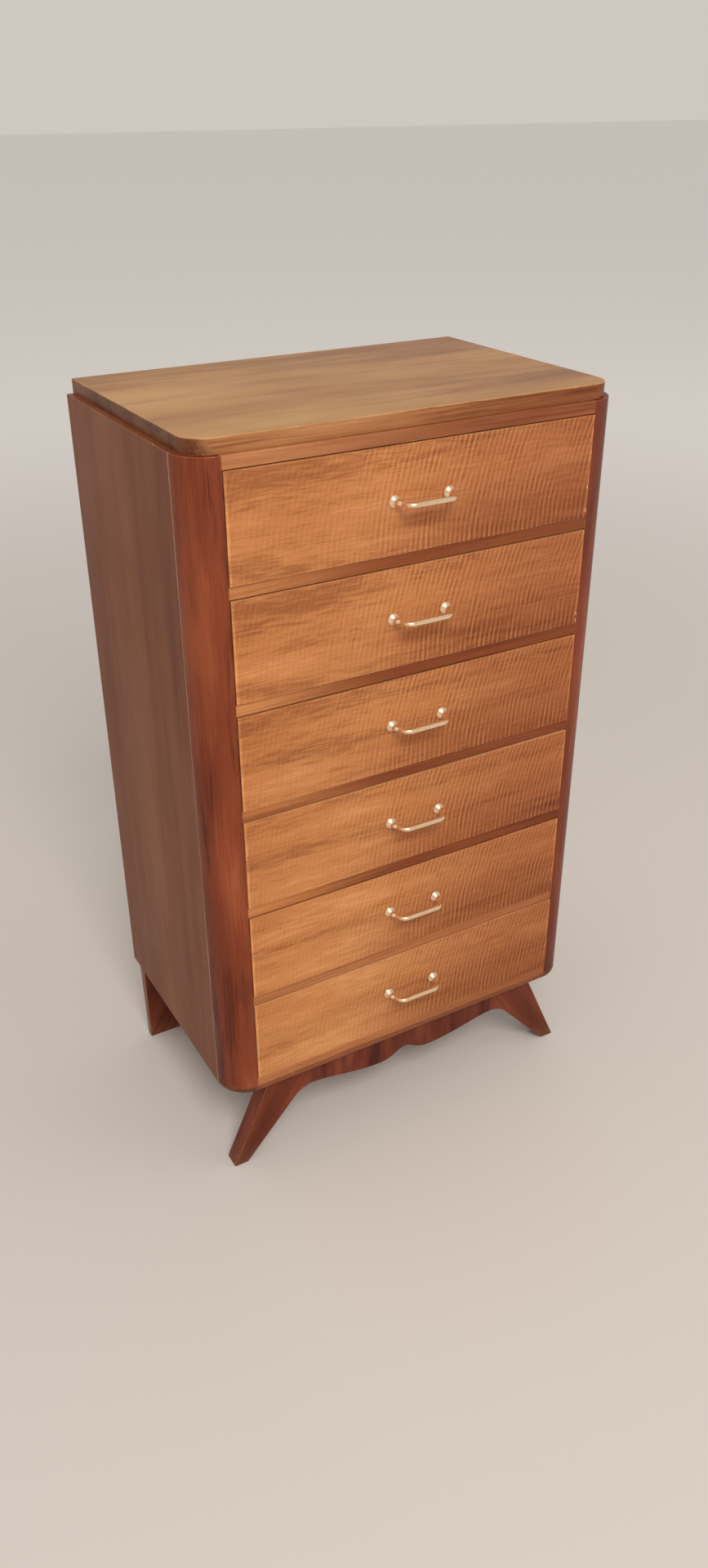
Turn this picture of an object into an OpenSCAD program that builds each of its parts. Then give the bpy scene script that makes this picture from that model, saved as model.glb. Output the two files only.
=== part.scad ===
// Tall narrow chest of six drawers with quarter-round corner posts,
// a set-back top slab and a splayed base with a shaped apron.
// Lengths are in millimetres. The front faces -Y, +X is to the right,
// +Z is up, and the origin is on the floor under the middle of the outline.

/* [Carcass] */
// Width over the two side panels
carcass_w = 700; // [620:5:860]
// Depth from the front of the rails to the back
carcass_d = 450; // [390:5:540]
// Radius and width of the quarter-round corner posts
post_r = 51; // [44:1:60]
// Thickness of the side panels
side_t = 20; // [18:0.5:24]
// Thickness of the back panel
back_t = 6; // [4:0.5:8]
// Width of the rebate that takes the back panel
back_rebate = 8; // [7:0.5:9]
// Depth of the housings cut in the side panels
housing_d = 5; // [3:0.5:7]
// Thickness of the tongue that joins a side panel to its post
tongue_t = 6; // [4:0.5:8]
// Length of that tongue
tongue_l = 8; // [5:0.5:10]
// Width of the pale inlay strip beside each post
inlay_w = 2.5; // [1.5:0.5:4]
// Depth of the inlay strip into the side panel
inlay_d = 3; // [2:0.5:5]

/* [Front frame] */
// Height of each drawer opening
opening_h = 155.5; // [140:0.5:180]
// Thickness of the rails between the drawers
rail_t = 17.5; // [15:0.5:22]
// Thickness of the top rail and of the board behind it
top_rail_t = 18; // [16:0.5:24]
// Thickness of the rail under the lowest drawer
bottom_rail_t = 17.5; // [15:0.5:24]
// Thickness of the bottom board
bottom_board_t = 12; // [10:0.5:16]
// Length of the stub tenons on the rails
tenon_l = 12; // [8:1:16]
// Width of those tenons, front to back
tenon_w = 22; // [14:1:28]
// Shoulder left above and below those tenons
tenon_shoulder = 4; // [3:0.5:5]

/* [Top slab] */
// Thickness of the slab
slab_t = 22; // [19:0.5:30]
// Set-back of the slab from each side
slab_side_inset = 10; // [4:0.5:20]
// Set-back of the slab from the front
slab_front_inset = 8; // [4:0.5:20]
// Radius of its two front corners
slab_corner_r = 38; // [20:1:60]

/* [Front base] */
// Height of the base
base_h = 168; // [150:1:220]
// Thickness of the front legs
leg_t = 30; // [24:1:36]
// Set-back of the legs and apron from the front
leg_setback = 13.5; // [6:0.5:24]
// Thickness of the apron
apron_t = 22; // [18:1:24]
// Depth of the apron beside the legs
peak_depth = 43.5; // [38:0.5:50]
// How far its lower edge dips on the way to each leg
peak_dip = 2.5; // [0:0.5:5]
// Depth of the apron at its two lobes
lobe_depth = 63; // [54:0.5:80]
// Depth of the apron at the middle notch
notch_depth = 45.5; // [38:0.5:52]
// Distance of each lobe from the middle
lobe_x = 52; // [44:1:64]
// Radius of the curve from the apron into each leg
leg_curve_r = 54; // [40:1:62]
// Set-back of the front legs from the sides, under the carcass
leg_inset = 78; // [68:1:88]
// Width of a front leg there, as far as the apron
leg_w = 86; // [76:1:96]
// Set-back of the front feet from the sides, on the floor
foot_inset = 3; // [0:0.5:20]
// Width of a foot on the floor
foot_w = 26; // [20:1:34]
// Length of the tenons between apron and legs
apron_tenon_l = 14; // [8:1:18]
// Thickness of those tenons
apron_tenon_t = 8; // [6:1:10]
// Shoulder left above and below every tenon of the base
base_shoulder = 8; // [5:0.5:9]
// Space left beyond the end of every tenon
tenon_gap = 0.5; // [0.2:0.1:1]

/* [Rear base] */
// Thickness of a rear leg under the carcass
rear_leg_t = 22; // [20:1:28]
// Thickness of a rear leg on the floor
rear_foot_t = 14; // [12:1:20]
// Width of a rear leg under the carcass
rear_leg_w = 120; // [110:1:132]
// Width of a rear leg on the floor
rear_foot_w = 70; // [50:1:95]
// Set-back of the rear legs from the sides
rear_side_inset = 2; // [0:0.5:6]
// Set-back of the rear legs from the back
rear_back_inset = 24; // [12:1:40]
// Height of the rail between the rear legs
rear_rail_h = 46; // [36:1:60]
// Thickness of that rail
rear_rail_t = 18; // [14:1:20]
// Set-back of that rail from the front of the rear legs
rear_rail_setback = 2; // [0:0.5:2]
// Length of the tenons on that rail
rear_tenon_l = 10; // [6:0.5:10]
// Thickness of those tenons
rear_tenon_t = 8; // [5:0.5:8]
// Width of the bearers between front and rear legs
bearer_w = 28; // [24:1:32]
// Height of the bearers
bearer_h = 36; // [30:1:40]
// Length of the tenons on the bearers
bearer_tenon_l = 10; // [6:1:12]
// Width of those tenons
bearer_tenon_w = 12; // [8:1:16]

/* [Drawers] */
// Thickness of a drawer front
front_t = 20; // [18:0.5:24]
// How far a closed front stands out from the rails
front_proud = 2; // [0:0.5:5]
// Gap at each side of a drawer front
gap_side = 0.8; // [0.5:0.1:2]
// Gap above a drawer front
gap_top = 1.3; // [0.8:0.1:3]
// Gap under a drawer front
gap_bottom = 0.5; // [0.3:0.1:2]
// Running gap under the drawer sides
slide_gap = 0.3; // [0.2:0.05:0.6]
// Running gap between a drawer side and its guide
guide_gap = 0.4; // [0.2:0.05:0.7]
// Thickness of the drawer sides and back
box_t = 12; // [10:0.5:14]
// Space left above the drawer sides in the opening
box_top_gap = 8; // [5:0.5:16]
// Space left between a closed drawer and the back panel
box_back_gap = 12; // [6:1:30]
// Thickness of the plywood bottom
bottom_t = 5; // [4:0.5:6]
// Depth of the grooves that hold the bottom
groove_d = 6; // [4:0.5:8]
// Height of the bottom above the lower edge of the sides
groove_up = 10.5; // [9:0.5:14]
// Distance of the drawer back from the rear end of the sides
back_inset = 8; // [4:1:16]
// Depth of the housing for the drawer back
back_housing = 4; // [3:0.5:6]
// Number of dovetails at each front corner
tail_n = 4; // [3:1:5]
// Length of the dovetails
tail_l = 12; // [9:0.5:14]
// Share of the corner's height taken by the roots of the tails
tail_share = 0.58; // [0.52:0.02:0.66]
// How much wider a dovetail is at its end, on each side
tail_flare = 2; // [1:0.25:2.5]

/* [Runners] */
// How far a runner reaches in past the corner post
runner_in = 24; // [18:1:40]
// Height of the guide strips
guide_h = 14; // [8:1:24]
// Width of a drawer stop
stop_w = 20; // [12:1:40]
// Length of a drawer stop, front to back
stop_l = 12; // [8:1:20]
// Height of a drawer stop
stop_h = 6; // [4:0.5:8]
// Distance of each stop from the middle
stop_x = 200; // [120:5:240]
// Gap between a closed front and its stops
stop_gap = 0.3; // [0.2:0.05:0.6]

/* [Handles] */
// Distance between the two feet of a handle
handle_w = 90; // [80:1:120]
// Distance from the drawer face to the bar's centre line
handle_reach = 30; // [26:1:36]
// Diameter of the flared feet
rosette_d = 20; // [16:0.5:24]
// Length of the flare
rosette_l = 10; // [9:0.5:12]
// Thickness of its flat rim
rosette_rim = 1.4; // [1:0.1:2]
// Diameter of the neck above the flare
neck_d = 8.4; // [8:0.2:10]
// Diameter of the bent arms
arm_d = 6.4; // [6:0.2:7.6]
// Diameter of the bar at its middle
bar_d = 8.4; // [7.8:0.2:10]
// Inward lean of the arms in degrees
arm_lean = 15; // [5:1:20]
// Radius of the two bends
bend_r = 12; // [8:1:14]

/* [Screws] */
// Diameter of the handle screws
handle_screw_d = 4; // [3:0.1:4.4]
// How deep a handle screw goes into the handle
handle_screw_in = 7.5; // [6:0.5:8]
// Diameter of the frame screws
frame_screw_d = 4.5; // [4:0.1:5]
// Length of the frame screws
frame_screw_l = 30; // [27:0.5:31]
// Depth of the frame screws in the bottom board
board_bite = 10; // [7:0.5:10]
// Depth of the frame screws in the slab
slab_bite = 15; // [12:0.5:16]
// Distance of the slab screws from the side panels
slab_screw_inset = 50; // [30:1:80]
// Diameter of the back panel screws
back_screw_d = 3; // [2.5:0.1:3.4]
// Length of the back panel screws
back_screw_l = 16; // [13:1:20]
// Clearance round a screw's shank where it bites
bite_gap = 0.03; // [0.02:0.01:0.06]
// Clearance round a screw's shank where it passes through
pass_gap = 0.2; // [0.1:0.05:0.4]
// Clearance beyond a screw's point in a blind bore
point_gap = 0.3; // [0.2:0.1:0.6]

/* [Hidden] */
$fn = 64;
drawer_n = 6;
drawers = [1:drawer_n];
sides = [-1, 1];
over = 1;

// Heights, counted from the floor up
bottom_rail_z = base_h + bottom_board_t;
lowest_open_z = bottom_rail_z + bottom_rail_t;
open_pitch = opening_h + rail_t;
top_rail_z = lowest_open_z + drawer_n * opening_h + (drawer_n - 1) * rail_t;
slab_z = top_rail_z + top_rail_t;
function open_z(i) = lowest_open_z + (drawer_n - i) * open_pitch;
function runner_t(i) = i == drawer_n ? bottom_rail_t : rail_t;

// Widths, as half widths from the middle
half_w = carcass_w / 2;
open_half = half_w - post_r;
inner_half = half_w - side_t;
housed_half = inner_half + housing_d;
back_half = inner_half + back_rebate;
front_half = open_half - gap_side;
box_in_half = front_half - box_t;
groove_half = box_in_half + groove_d;
leg_top_x = half_w - leg_inset;
apron_half = leg_top_x - leg_w;
foot_x = half_w - foot_inset;
rear_leg_x = half_w - rear_side_inset;
rear_rail_half = rear_leg_x - rear_leg_w;
bearer_x = (leg_top_x + rear_rail_half) / 2;

// Depths, counted back from the front of the rails
back_y = carcass_d - back_t;
front_back_y = front_t - front_proud;
box_end_y = back_y - box_back_gap;
drawer_back_y = box_end_y - back_inset - box_t;
leg_back_y = leg_setback + leg_t;
rear_leg_y = carcass_d - rear_back_inset - rear_leg_t;
rear_rail_y = rear_leg_y + rear_rail_setback;

// Drawer corners
box_h = opening_h - box_top_gap - slide_gap;
tail_pitch = box_h / tail_n;
tail_root = tail_pitch * tail_share;

// Handle path, on the level of the bar
handle_half = handle_w / 2;
bend_turn = 90 - arm_lean;
bend_tangent = bend_r * tan(bend_turn / 2);
elbow_x = handle_half - handle_reach * tan(arm_lean);
bar_half = elbow_x - bend_tangent;
handle_bore = handle_screw_in + point_gap;
collar_l = 0.4;
collar_step = 0.1;
arm_taper = 0.4;

// Screw heads
handle_head_d = 2 * handle_screw_d;
handle_head_h = 2.6;
frame_head_d = 1.9 * frame_screw_d;
frame_head_h = 2.4;
head_gap = 0.4;
least_recess = 0.5;
subtop_recess = max(least_recess, top_rail_t + slab_bite - frame_screw_l);
bearer_recess = bearer_h + board_bite - frame_screw_l;
back_head_h = 2;

// Screw places as shares of the length between two ends
base_screw_at = [0.18, 0.5, 0.82];
slab_screw_at = [0.12, 0.5, 0.88];
edge_screw_at = [-0.75, -0.25, 0.25, 0.75];

// The front-most point is the face of a handle's bar
handle_front = front_proud + handle_reach + bar_d / 2;
front_y = -(carcass_d - handle_front) / 2;

// Moves a piece from the front of the rails to the part's own origin
module in_place() {
    translate([0, front_y, 0]) children();
}

// Pieces are drawn on the left, and side 1 gives their mirror image
module on_side(s) {
    mirror([s > 0 ? 1 : 0, 0, 0]) children();
}

// A block between two corners
module block(a, b) {
    translate(a) cube(b - a);
}

// Stands an outline drawn in X and Z upright, from y to y + depth
module upright(y, depth) {
    translate([0, y + depth, 0]) rotate([90, 0, 0]) linear_extrude(depth) children();
}

// Points of a cubic curve, without its first point
function cubic(a, b, c, d, steps) =
    [for (k = [1:steps]) let (t = k / steps, u = 1 - t)
        u * u * u * a + 3 * u * u * t * b + 3 * u * t * t * c + t * t * t * d];

// Quarter-round plan of the left post
module post_plan() {
    intersection() {
        translate([-open_half, post_r]) circle(r = post_r, $fn = 128);
        translate([-half_w, 0]) square([post_r, post_r]);
    }
}

// Stub tenon at the left end of a rail that is t thick and starts at z, or its mortise
module rail_tenon(z, t, gap = 0) {
    y = (post_r - tenon_w) / 2;
    block([-open_half - tenon_l - gap, y, z + tenon_shoulder],
          [-open_half + over, y + tenon_w, z + t - tenon_shoulder]);
}

module rail(z, t) {
    in_place() {
        block([-open_half, 0, z], [open_half, post_r, z + t]);
        for (s = sides) on_side(s) rail_tenon(z, t);
    }
}

module panel_tongue() {
    x = -half_w + (side_t - tongue_t) / 2;
    block([x, post_r - tongue_l, bottom_rail_z], [x + tongue_t, post_r + over, slab_z]);
}

module corner_post(s) {
    color("#7a3d28") in_place() on_side(s) difference() {
        translate([0, 0, bottom_rail_z]) linear_extrude(slab_z - bottom_rail_z) post_plan();
        panel_tongue();
        rail_tenon(top_rail_z, top_rail_t, tenon_gap);
        rail_tenon(bottom_rail_z, bottom_rail_t, tenon_gap);
        for (i = [1:drawer_n - 1]) rail_tenon(open_z(i) - rail_t, rail_t, tenon_gap);
    }
}

module inlay_strip() {
    block([-half_w, post_r, base_h], [-half_w + inlay_d, post_r + inlay_w, slab_z]);
}

module inlay_strips() {
    color("#b98f63") in_place() for (s = sides) on_side(s) inlay_strip();
}

module side_panel(s) {
    color("#6b4330") in_place() on_side(s) difference() {
        union() {
            block([-half_w, post_r, base_h], [-inner_half, carcass_d, slab_z]);
            panel_tongue();
        }
        inlay_strip();
        block([-back_half, back_y, base_h - over],
              [-inner_half + over, carcass_d + over, slab_z + over]);
        panel_housing(base_h - over, bottom_rail_z);
        panel_housing(top_rail_z, slab_z + over);
        for (i = drawers) panel_housing(open_z(i) - runner_t(i), open_z(i));
        for (i = drawers) back_screw_place(-side_screw_x(), side_screw_z(i)) back_screw(bite_gap);
    }
}

// Slot across the inside of the left panel, from z0 to z1
module panel_housing(z0, z1) {
    block([-housed_half, post_r - over, z0], [-inner_half + over, back_y, z1]);
}

module top_rail() {
    color("#9a6038") rail(top_rail_z, top_rail_t);
}

module divider_rails() {
    color("#965a38") for (i = [1:drawer_n - 1]) rail(open_z(i) - rail_t, rail_t);
}

module bottom_rail() {
    color("#965a38") rail(bottom_rail_z, bottom_rail_t);
}

// Board under the top slab, housed in both side panels
module subtop_board() {
    color("#a98a62") in_place() difference() {
        block([-housed_half, post_r, top_rail_z], [housed_half, back_y, slab_z]);
        each_slab_screw() slab_screw_hole();
        each_edge_screw() back_screw(bite_gap);
    }
}

// The front strip runs out under the posts, and the rest is housed in the panels
module bottom_board() {
    color("#9a6440") in_place() difference() {
        translate([0, 0, base_h]) linear_extrude(bottom_board_t) {
            for (s = sides) on_side(s) post_plan();
            translate([-open_half, 0]) square([2 * open_half, post_r]);
            translate([-housed_half, post_r - over]) square([2 * housed_half, back_y - post_r + over]);
        }
        each_base_screw() base_screw_hole();
        each_edge_screw() back_screw(bite_gap);
    }
}

module back_panel() {
    color("#a98a62") in_place() difference() {
        block([-back_half, back_y, base_h], [back_half, carcass_d, slab_z]);
        each_back_screw() back_screw(pass_gap);
    }
}

// Plan of the slab with its two rounded front corners
module slab_plan() {
    x = half_w - slab_side_inset;
    y = slab_front_inset;
    r = slab_corner_r;
    translate([-x, y + r]) square([2 * x, carcass_d - y - r]);
    translate([-x + r, y]) square([2 * (x - r), r + over]);
    for (s = sides) translate([s * (x - r), y + r]) circle(r = r, $fn = 128);
}

module top_slab() {
    color("#b3855a") in_place() difference() {
        translate([0, 0, slab_z]) linear_extrude(slab_t) slab_plan();
        each_slab_screw() slab_screw_hole();
    }
}

// Right leg: a tangent arc from the apron, then a straight run to the foot
module leg_outline() {
    foot_in = foot_x - foot_w;
    hub = [apron_half, base_h - peak_depth - leg_curve_r];
    run = [foot_in, 0] - hub;
    last = atan2(run.y, run.x) + acos(leg_curve_r / norm(run));
    steps = 10;
    polygon(concat(
        [[apron_half, base_h], [leg_top_x, base_h], [foot_x, 0], [foot_in, 0]],
        [for (k = [0:steps]) let (a = last + (90 - last) * k / steps)
            hub + leg_curve_r * [cos(a), sin(a)]]));
}

// Right end tenon of the apron, or its mortise in the leg
module apron_tenon(gap = 0) {
    y = leg_setback + (apron_t - apron_tenon_t) / 2;
    block([apron_half - over, y, base_h - peak_depth + base_shoulder],
          [apron_half + apron_tenon_l + gap, y + apron_tenon_t, base_h - base_shoulder]);
}

module front_leg(s) {
    color("#6b3424") in_place() on_side(-s) difference() {
        upright(leg_setback, leg_t) leg_outline();
        apron_tenon(tenon_gap);
        on_side(1) bearer_tenons(tenon_gap);
    }
}

// The lower edge has a notch in the middle, two lobes and a rise to each leg
module apron_outline() {
    peak = base_h - peak_depth;
    lobe = base_h - lobe_depth;
    notch = base_h - notch_depth;
    span = apron_half - lobe_x;
    notch_pull = 0.27 * lobe_x;
    lobe_pull = 0.54 * lobe_x;
    rise_pull = 0.36 * span;
    peak_pull = 0.27 * span;
    right = concat(
        [[0, notch]],
        cubic([0, notch], [notch_pull, notch], [lobe_x - lobe_pull, lobe], [lobe_x, lobe], 8),
        cubic([lobe_x, lobe], [lobe_x + rise_pull, lobe],
              [apron_half - peak_pull, peak - peak_dip], [apron_half, peak], 12));
    left = [for (k = [len(right) - 1:-1:1]) [-right[k].x, right[k].y]];
    polygon(concat(left, right, [[apron_half, base_h], [-apron_half, base_h]]));
}

module front_apron() {
    color("#6b3020") in_place() {
        upright(leg_setback, apron_t) apron_outline();
        for (s = sides) on_side(s) mirror([1, 0, 0]) apron_tenon();
    }
}

// Right rear leg, thinner towards the floor
module rear_leg_blank() {
    intersection() {
        upright(rear_leg_y, rear_leg_t) polygon([
            [rear_rail_half, base_h], [rear_leg_x, base_h], [rear_leg_x, 0],
            [rear_leg_x - rear_foot_w, 0], [rear_rail_half, base_h - rear_rail_h]]);
        translate([rear_rail_half - over, 0, 0]) rotate([90, 0, 90])
            linear_extrude(rear_leg_w + 2 * over) polygon([
                [rear_leg_y, 0], [rear_leg_y + rear_foot_t, 0],
                [rear_leg_y + rear_leg_t, base_h], [rear_leg_y, base_h]]);
    }
}

// Right end tenon of the rear rail, or its mortise in the leg
module rear_tenon(gap = 0) {
    y = rear_rail_y + (rear_rail_t - rear_tenon_t) / 2;
    block([rear_rail_half - over, y, base_h - rear_rail_h + base_shoulder],
          [rear_rail_half + rear_tenon_l + gap, y + rear_tenon_t, base_h - base_shoulder]);
}

module rear_leg(s) {
    color("#5c2f22") in_place() on_side(-s) difference() {
        rear_leg_blank();
        rear_tenon(tenon_gap);
        on_side(1) bearer_tenons(tenon_gap);
    }
}

module rear_rail() {
    color("#6a4630") in_place() {
        block([-rear_rail_half, rear_rail_y, base_h - rear_rail_h],
              [rear_rail_half, rear_rail_y + rear_rail_t, base_h]);
        for (s = sides) on_side(s) mirror([1, 0, 0]) rear_tenon();
    }
}

// Tenons at both ends of the left bearer, or their mortises
module bearer_tenons(gap = 0) {
    x0 = -bearer_x - bearer_tenon_w / 2;
    x1 = x0 + bearer_tenon_w;
    z0 = base_h - bearer_h + base_shoulder;
    z1 = base_h - base_shoulder;
    block([x0, leg_back_y - bearer_tenon_l - gap, z0], [x1, leg_back_y + over, z1]);
    block([x0, rear_leg_y - over, z0], [x1, rear_leg_y + bearer_tenon_l + gap, z1]);
}

module side_bearers() {
    color("#8a6442") in_place() difference() {
        for (s = sides) on_side(s) {
            block([-bearer_x - bearer_w / 2, leg_back_y, base_h - bearer_h],
                  [-bearer_x + bearer_w / 2, rear_leg_y, base_h]);
            bearer_tenons();
        }
        each_base_screw() {
            base_screw_hole();
            translate([0, 0, -bearer_h - over])
                cylinder(d = frame_head_d + 2 * head_gap, h = bearer_recess + over);
        }
    }
}

// Flat runners, housed in the side panels level with the rails
module drawer_runners() {
    color("#a8875e") in_place() for (i = drawers, s = sides) on_side(s)
        block([-housed_half, post_r, open_z(i) - runner_t(i)],
              [-open_half + runner_in, back_y, open_z(i)]);
}

// Strips on the runners that keep each drawer in line with its opening
module drawer_guides() {
    color("#b3936a") in_place() for (i = drawers, s = sides) on_side(s)
        block([-inner_half, post_r, open_z(i)], [-front_half - guide_gap, back_y, open_z(i) + guide_h]);
}

// Blocks on the rails that meet the back of each closed front
module drawer_stops() {
    x = -stop_x - stop_w / 2;
    y = front_back_y + stop_gap;
    color("#8f6a45") in_place() for (i = drawers, s = sides) on_side(s)
        block([x, y, open_z(i)], [x + stop_w, y + stop_l, open_z(i) + stop_h]);
}

// Dovetails of the left corner, which fill their sockets in the front
module tails(i) {
    end = tail_root / 2 + tail_flare;
    root = tail_root / 2;
    for (k = [0.5:tail_n])
        translate([-front_half, 0, open_z(i) + slide_gap + k * tail_pitch]) rotate([0, 90, 0])
            linear_extrude(box_t) polygon([
                [-root, front_back_y], [-end, front_back_y - tail_l],
                [end, front_back_y - tail_l], [root, front_back_y]]);
}

// Space taken by the plywood bottom in its grooves
module bottom_blank(i) {
    z = open_z(i) + slide_gap + groove_up;
    block([-groove_half, front_back_y - groove_d, z],
          [groove_half, drawer_back_y + box_t, z + bottom_t]);
}

module drawer_front(i) {
    color("#b8733f") in_place() difference() {
        block([-front_half, -front_proud, open_z(i) + gap_bottom],
              [front_half, front_back_y, open_z(i) + opening_h - gap_top]);
        for (s = sides) on_side(s) tails(i);
        bottom_blank(i);
        each_handle_foot(i) translate([0, 0, -over])
            cylinder(d = handle_screw_d + 2 * pass_gap, h = front_t + 2 * over);
    }
}

module drawer_sides(i) {
    z = open_z(i) + slide_gap;
    z0 = z + groove_up;
    color("#c3a274") in_place() difference() {
        for (s = sides) on_side(s) {
            block([-front_half, front_back_y, z], [-box_in_half, box_end_y, z + box_h]);
            tails(i);
        }
        bottom_blank(i);
        block([-groove_half, drawer_back_y, z0], [groove_half, box_end_y + over, z0 + bottom_t]);
        drawer_back_blank(i);
    }
}

module drawer_back_blank(i) {
    z = open_z(i) + slide_gap;
    x = box_in_half + back_housing;
    block([-x, drawer_back_y, z + groove_up + bottom_t], [x, drawer_back_y + box_t, z + box_h]);
}

module drawer_back(i) {
    color("#bd9b6c") in_place() drawer_back_blank(i);
}

module drawer_bottom(i) {
    color("#cdb38a") in_place() bottom_blank(i);
}

// Puts a screw or bore on each foot of a handle, pointing out through the front
module each_handle_foot(i) {
    for (s = sides)
        translate([s * handle_half, front_back_y, open_z(i) + opening_h / 2])
            rotate([90, 0, 0]) children();
}

// Flared foot: a flat disc that narrows in a smooth hollow to the neck
module rosette() {
    steps = 10;
    hollow = 2.4;
    r0 = rosette_d / 2;
    r1 = neck_d / 2;
    rotate_extrude() polygon(concat(
        [[0, 0], [r0, 0]],
        [for (k = [0:steps]) let (t = k / steps)
            [r1 + (r0 - r1) * pow(1 - t, hollow), rosette_rim + (rosette_l - rosette_rim) * t]],
        [[0, rosette_l]]));
    translate([0, 0, rosette_l]) sphere(d = neck_d);
}

// Straight bar that swells to its middle, with a faint collar over each bend
module handle_bar() {
    steps = 16;
    end = bar_half + collar_l;
    end_r = arm_d / 2 + collar_step;
    rotate([0, 90, 0]) rotate_extrude() polygon(concat(
        [[0, -end]],
        [for (k = [0:steps]) let (t = 2 * k / steps - 1)
            [end_r + (bar_d / 2 - end_r) * (1 + cos(180 * t)) / 2, t * end]],
        [[0, end]]));
}

// A bend, and an arm that thickens a little towards its foot
module handle_arm() {
    bend = [bar_half, -handle_reach + bend_r, 0];
    translate(bend) rotate([0, 0, -90]) rotate_extrude(angle = bend_turn)
        translate([bend_r, 0]) circle(d = arm_d);
    start = bend + bend_r * [cos(arm_lean), -sin(arm_lean), 0];
    reach = (-start.y - rosette_l) / cos(arm_lean);
    translate(start) rotate([-90, 0, -arm_lean]) translate([0, 0, -collar_l])
        cylinder(r1 = arm_d / 2 + collar_step, r2 = arm_d / 2 + arm_taper, h = reach + collar_l);
}

module drawer_handle(i) {
    color("#d9c08a") in_place()
        translate([0, -front_proud, open_z(i) + opening_h / 2]) difference() {
            union() {
                translate([0, -handle_reach, 0]) handle_bar();
                for (s = sides) on_side(-s) {
                    handle_arm();
                    translate([handle_half, 0, 0]) rotate([90, 0, 0]) rosette();
                }
            }
            for (s = sides) translate([s * handle_half, over, 0]) rotate([90, 0, 0])
                cylinder(d = handle_screw_d + 2 * bite_gap, h = handle_bore + over);
        }
}

module drawer_screws(i) {
    color("#8d8d8a") in_place() each_handle_foot(i) {
        cylinder(d = handle_screw_d, h = front_t + handle_screw_in);
        translate([0, 0, -handle_head_h]) cylinder(d = handle_head_d, h = handle_head_h);
    }
}

// Round-headed screw that points up, with its seat at the origin
module frame_screw() {
    cylinder(d = frame_screw_d, h = frame_screw_l);
    translate([0, 0, -frame_head_h]) cylinder(d = frame_head_d, h = frame_head_h);
}

// Bore through a bearer and into the bottom board
module base_screw_hole() {
    translate([0, 0, -bearer_h - over])
        cylinder(d = frame_screw_d + 2 * bite_gap, h = over + bearer_h + board_bite + point_gap);
}

// Bore through the subtop board and into the slab, with a recess for the head
module slab_screw_hole() {
    translate([0, 0, -over]) {
        cylinder(d = frame_screw_d + 2 * bite_gap, h = over + subtop_recess + frame_screw_l + point_gap);
        cylinder(d = frame_head_d + 2 * head_gap, h = over + subtop_recess);
    }
}

// Places at the underside of the bottom board, over each bearer
module each_base_screw() {
    for (s = sides, t = base_screw_at)
        translate([s * bearer_x, leg_back_y + t * (rear_leg_y - leg_back_y), base_h]) children();
}

// Places at the underside of the subtop board, along each side
module each_slab_screw() {
    for (s = sides, t = slab_screw_at)
        translate([s * (inner_half - slab_screw_inset), post_r + t * (back_y - post_r), top_rail_z])
            children();
}

module frame_screws() {
    color("#8d8d8a") in_place() {
        each_base_screw() translate([0, 0, board_bite - frame_screw_l]) frame_screw();
        each_slab_screw() translate([0, 0, subtop_recess]) frame_screw();
    }
}

// Countersunk screw that points forward from the rear face of the back panel
module back_screw(gap = 0) {
    rotate([90, 0, 0]) {
        cylinder(d = back_screw_d + 2 * gap, h = back_screw_l + gap);
        cylinder(d1 = 2 * back_screw_d + 2 * gap, d2 = back_screw_d + 2 * gap, h = back_head_h);
    }
}

module back_screw_place(x, z) {
    translate([x, carcass_d, z]) children();
}

function side_screw_x() = back_half - back_rebate / 2;
function side_screw_z(i) = open_z(i) + opening_h / 2;

// Places along the rear edges of the bottom board and the subtop board
module each_edge_screw() {
    for (t = edge_screw_at, z = [base_h + bottom_board_t / 2, slab_z - top_rail_t / 2])
        back_screw_place(t * inner_half, z) children();
}

module each_back_screw() {
    each_edge_screw() children();
    for (i = drawers, s = sides) back_screw_place(s * side_screw_x(), side_screw_z(i)) children();
}

module back_screws() {
    color("#8d8d8a") in_place() each_back_screw() back_screw();
}

top_slab();
side_panel(-1);  // left_side_panel
side_panel(1);  // right_side_panel
corner_post(-1);  // left_corner_post
corner_post(1);  // right_corner_post
inlay_strips();
top_rail();
divider_rails();
bottom_rail();
subtop_board();
bottom_board();
back_panel();
front_leg(-1);  // front_left_leg
front_leg(1);  // front_right_leg
front_apron();
rear_leg(-1);  // rear_left_leg
rear_leg(1);  // rear_right_leg
rear_rail();
side_bearers();
drawer_runners();
drawer_guides();
drawer_stops();
frame_screws();
back_screws();
for (i = drawers) {
    drawer_front(i);
    drawer_sides(i);
    drawer_back(i);
    drawer_bottom(i);
    drawer_handle(i);
    drawer_screws(i);
}
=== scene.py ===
"""A tall narrow walnut chest of six drawers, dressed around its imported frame.

Lengths are in metres. The front faces -Y, +X is to the right and +Z is up.
"""

import logging
import math
from collections.abc import Callable
from dataclasses import dataclass
from enum import Enum

import bmesh
import bpy
import numpy as np
from mathutils import Matrix, Vector


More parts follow.
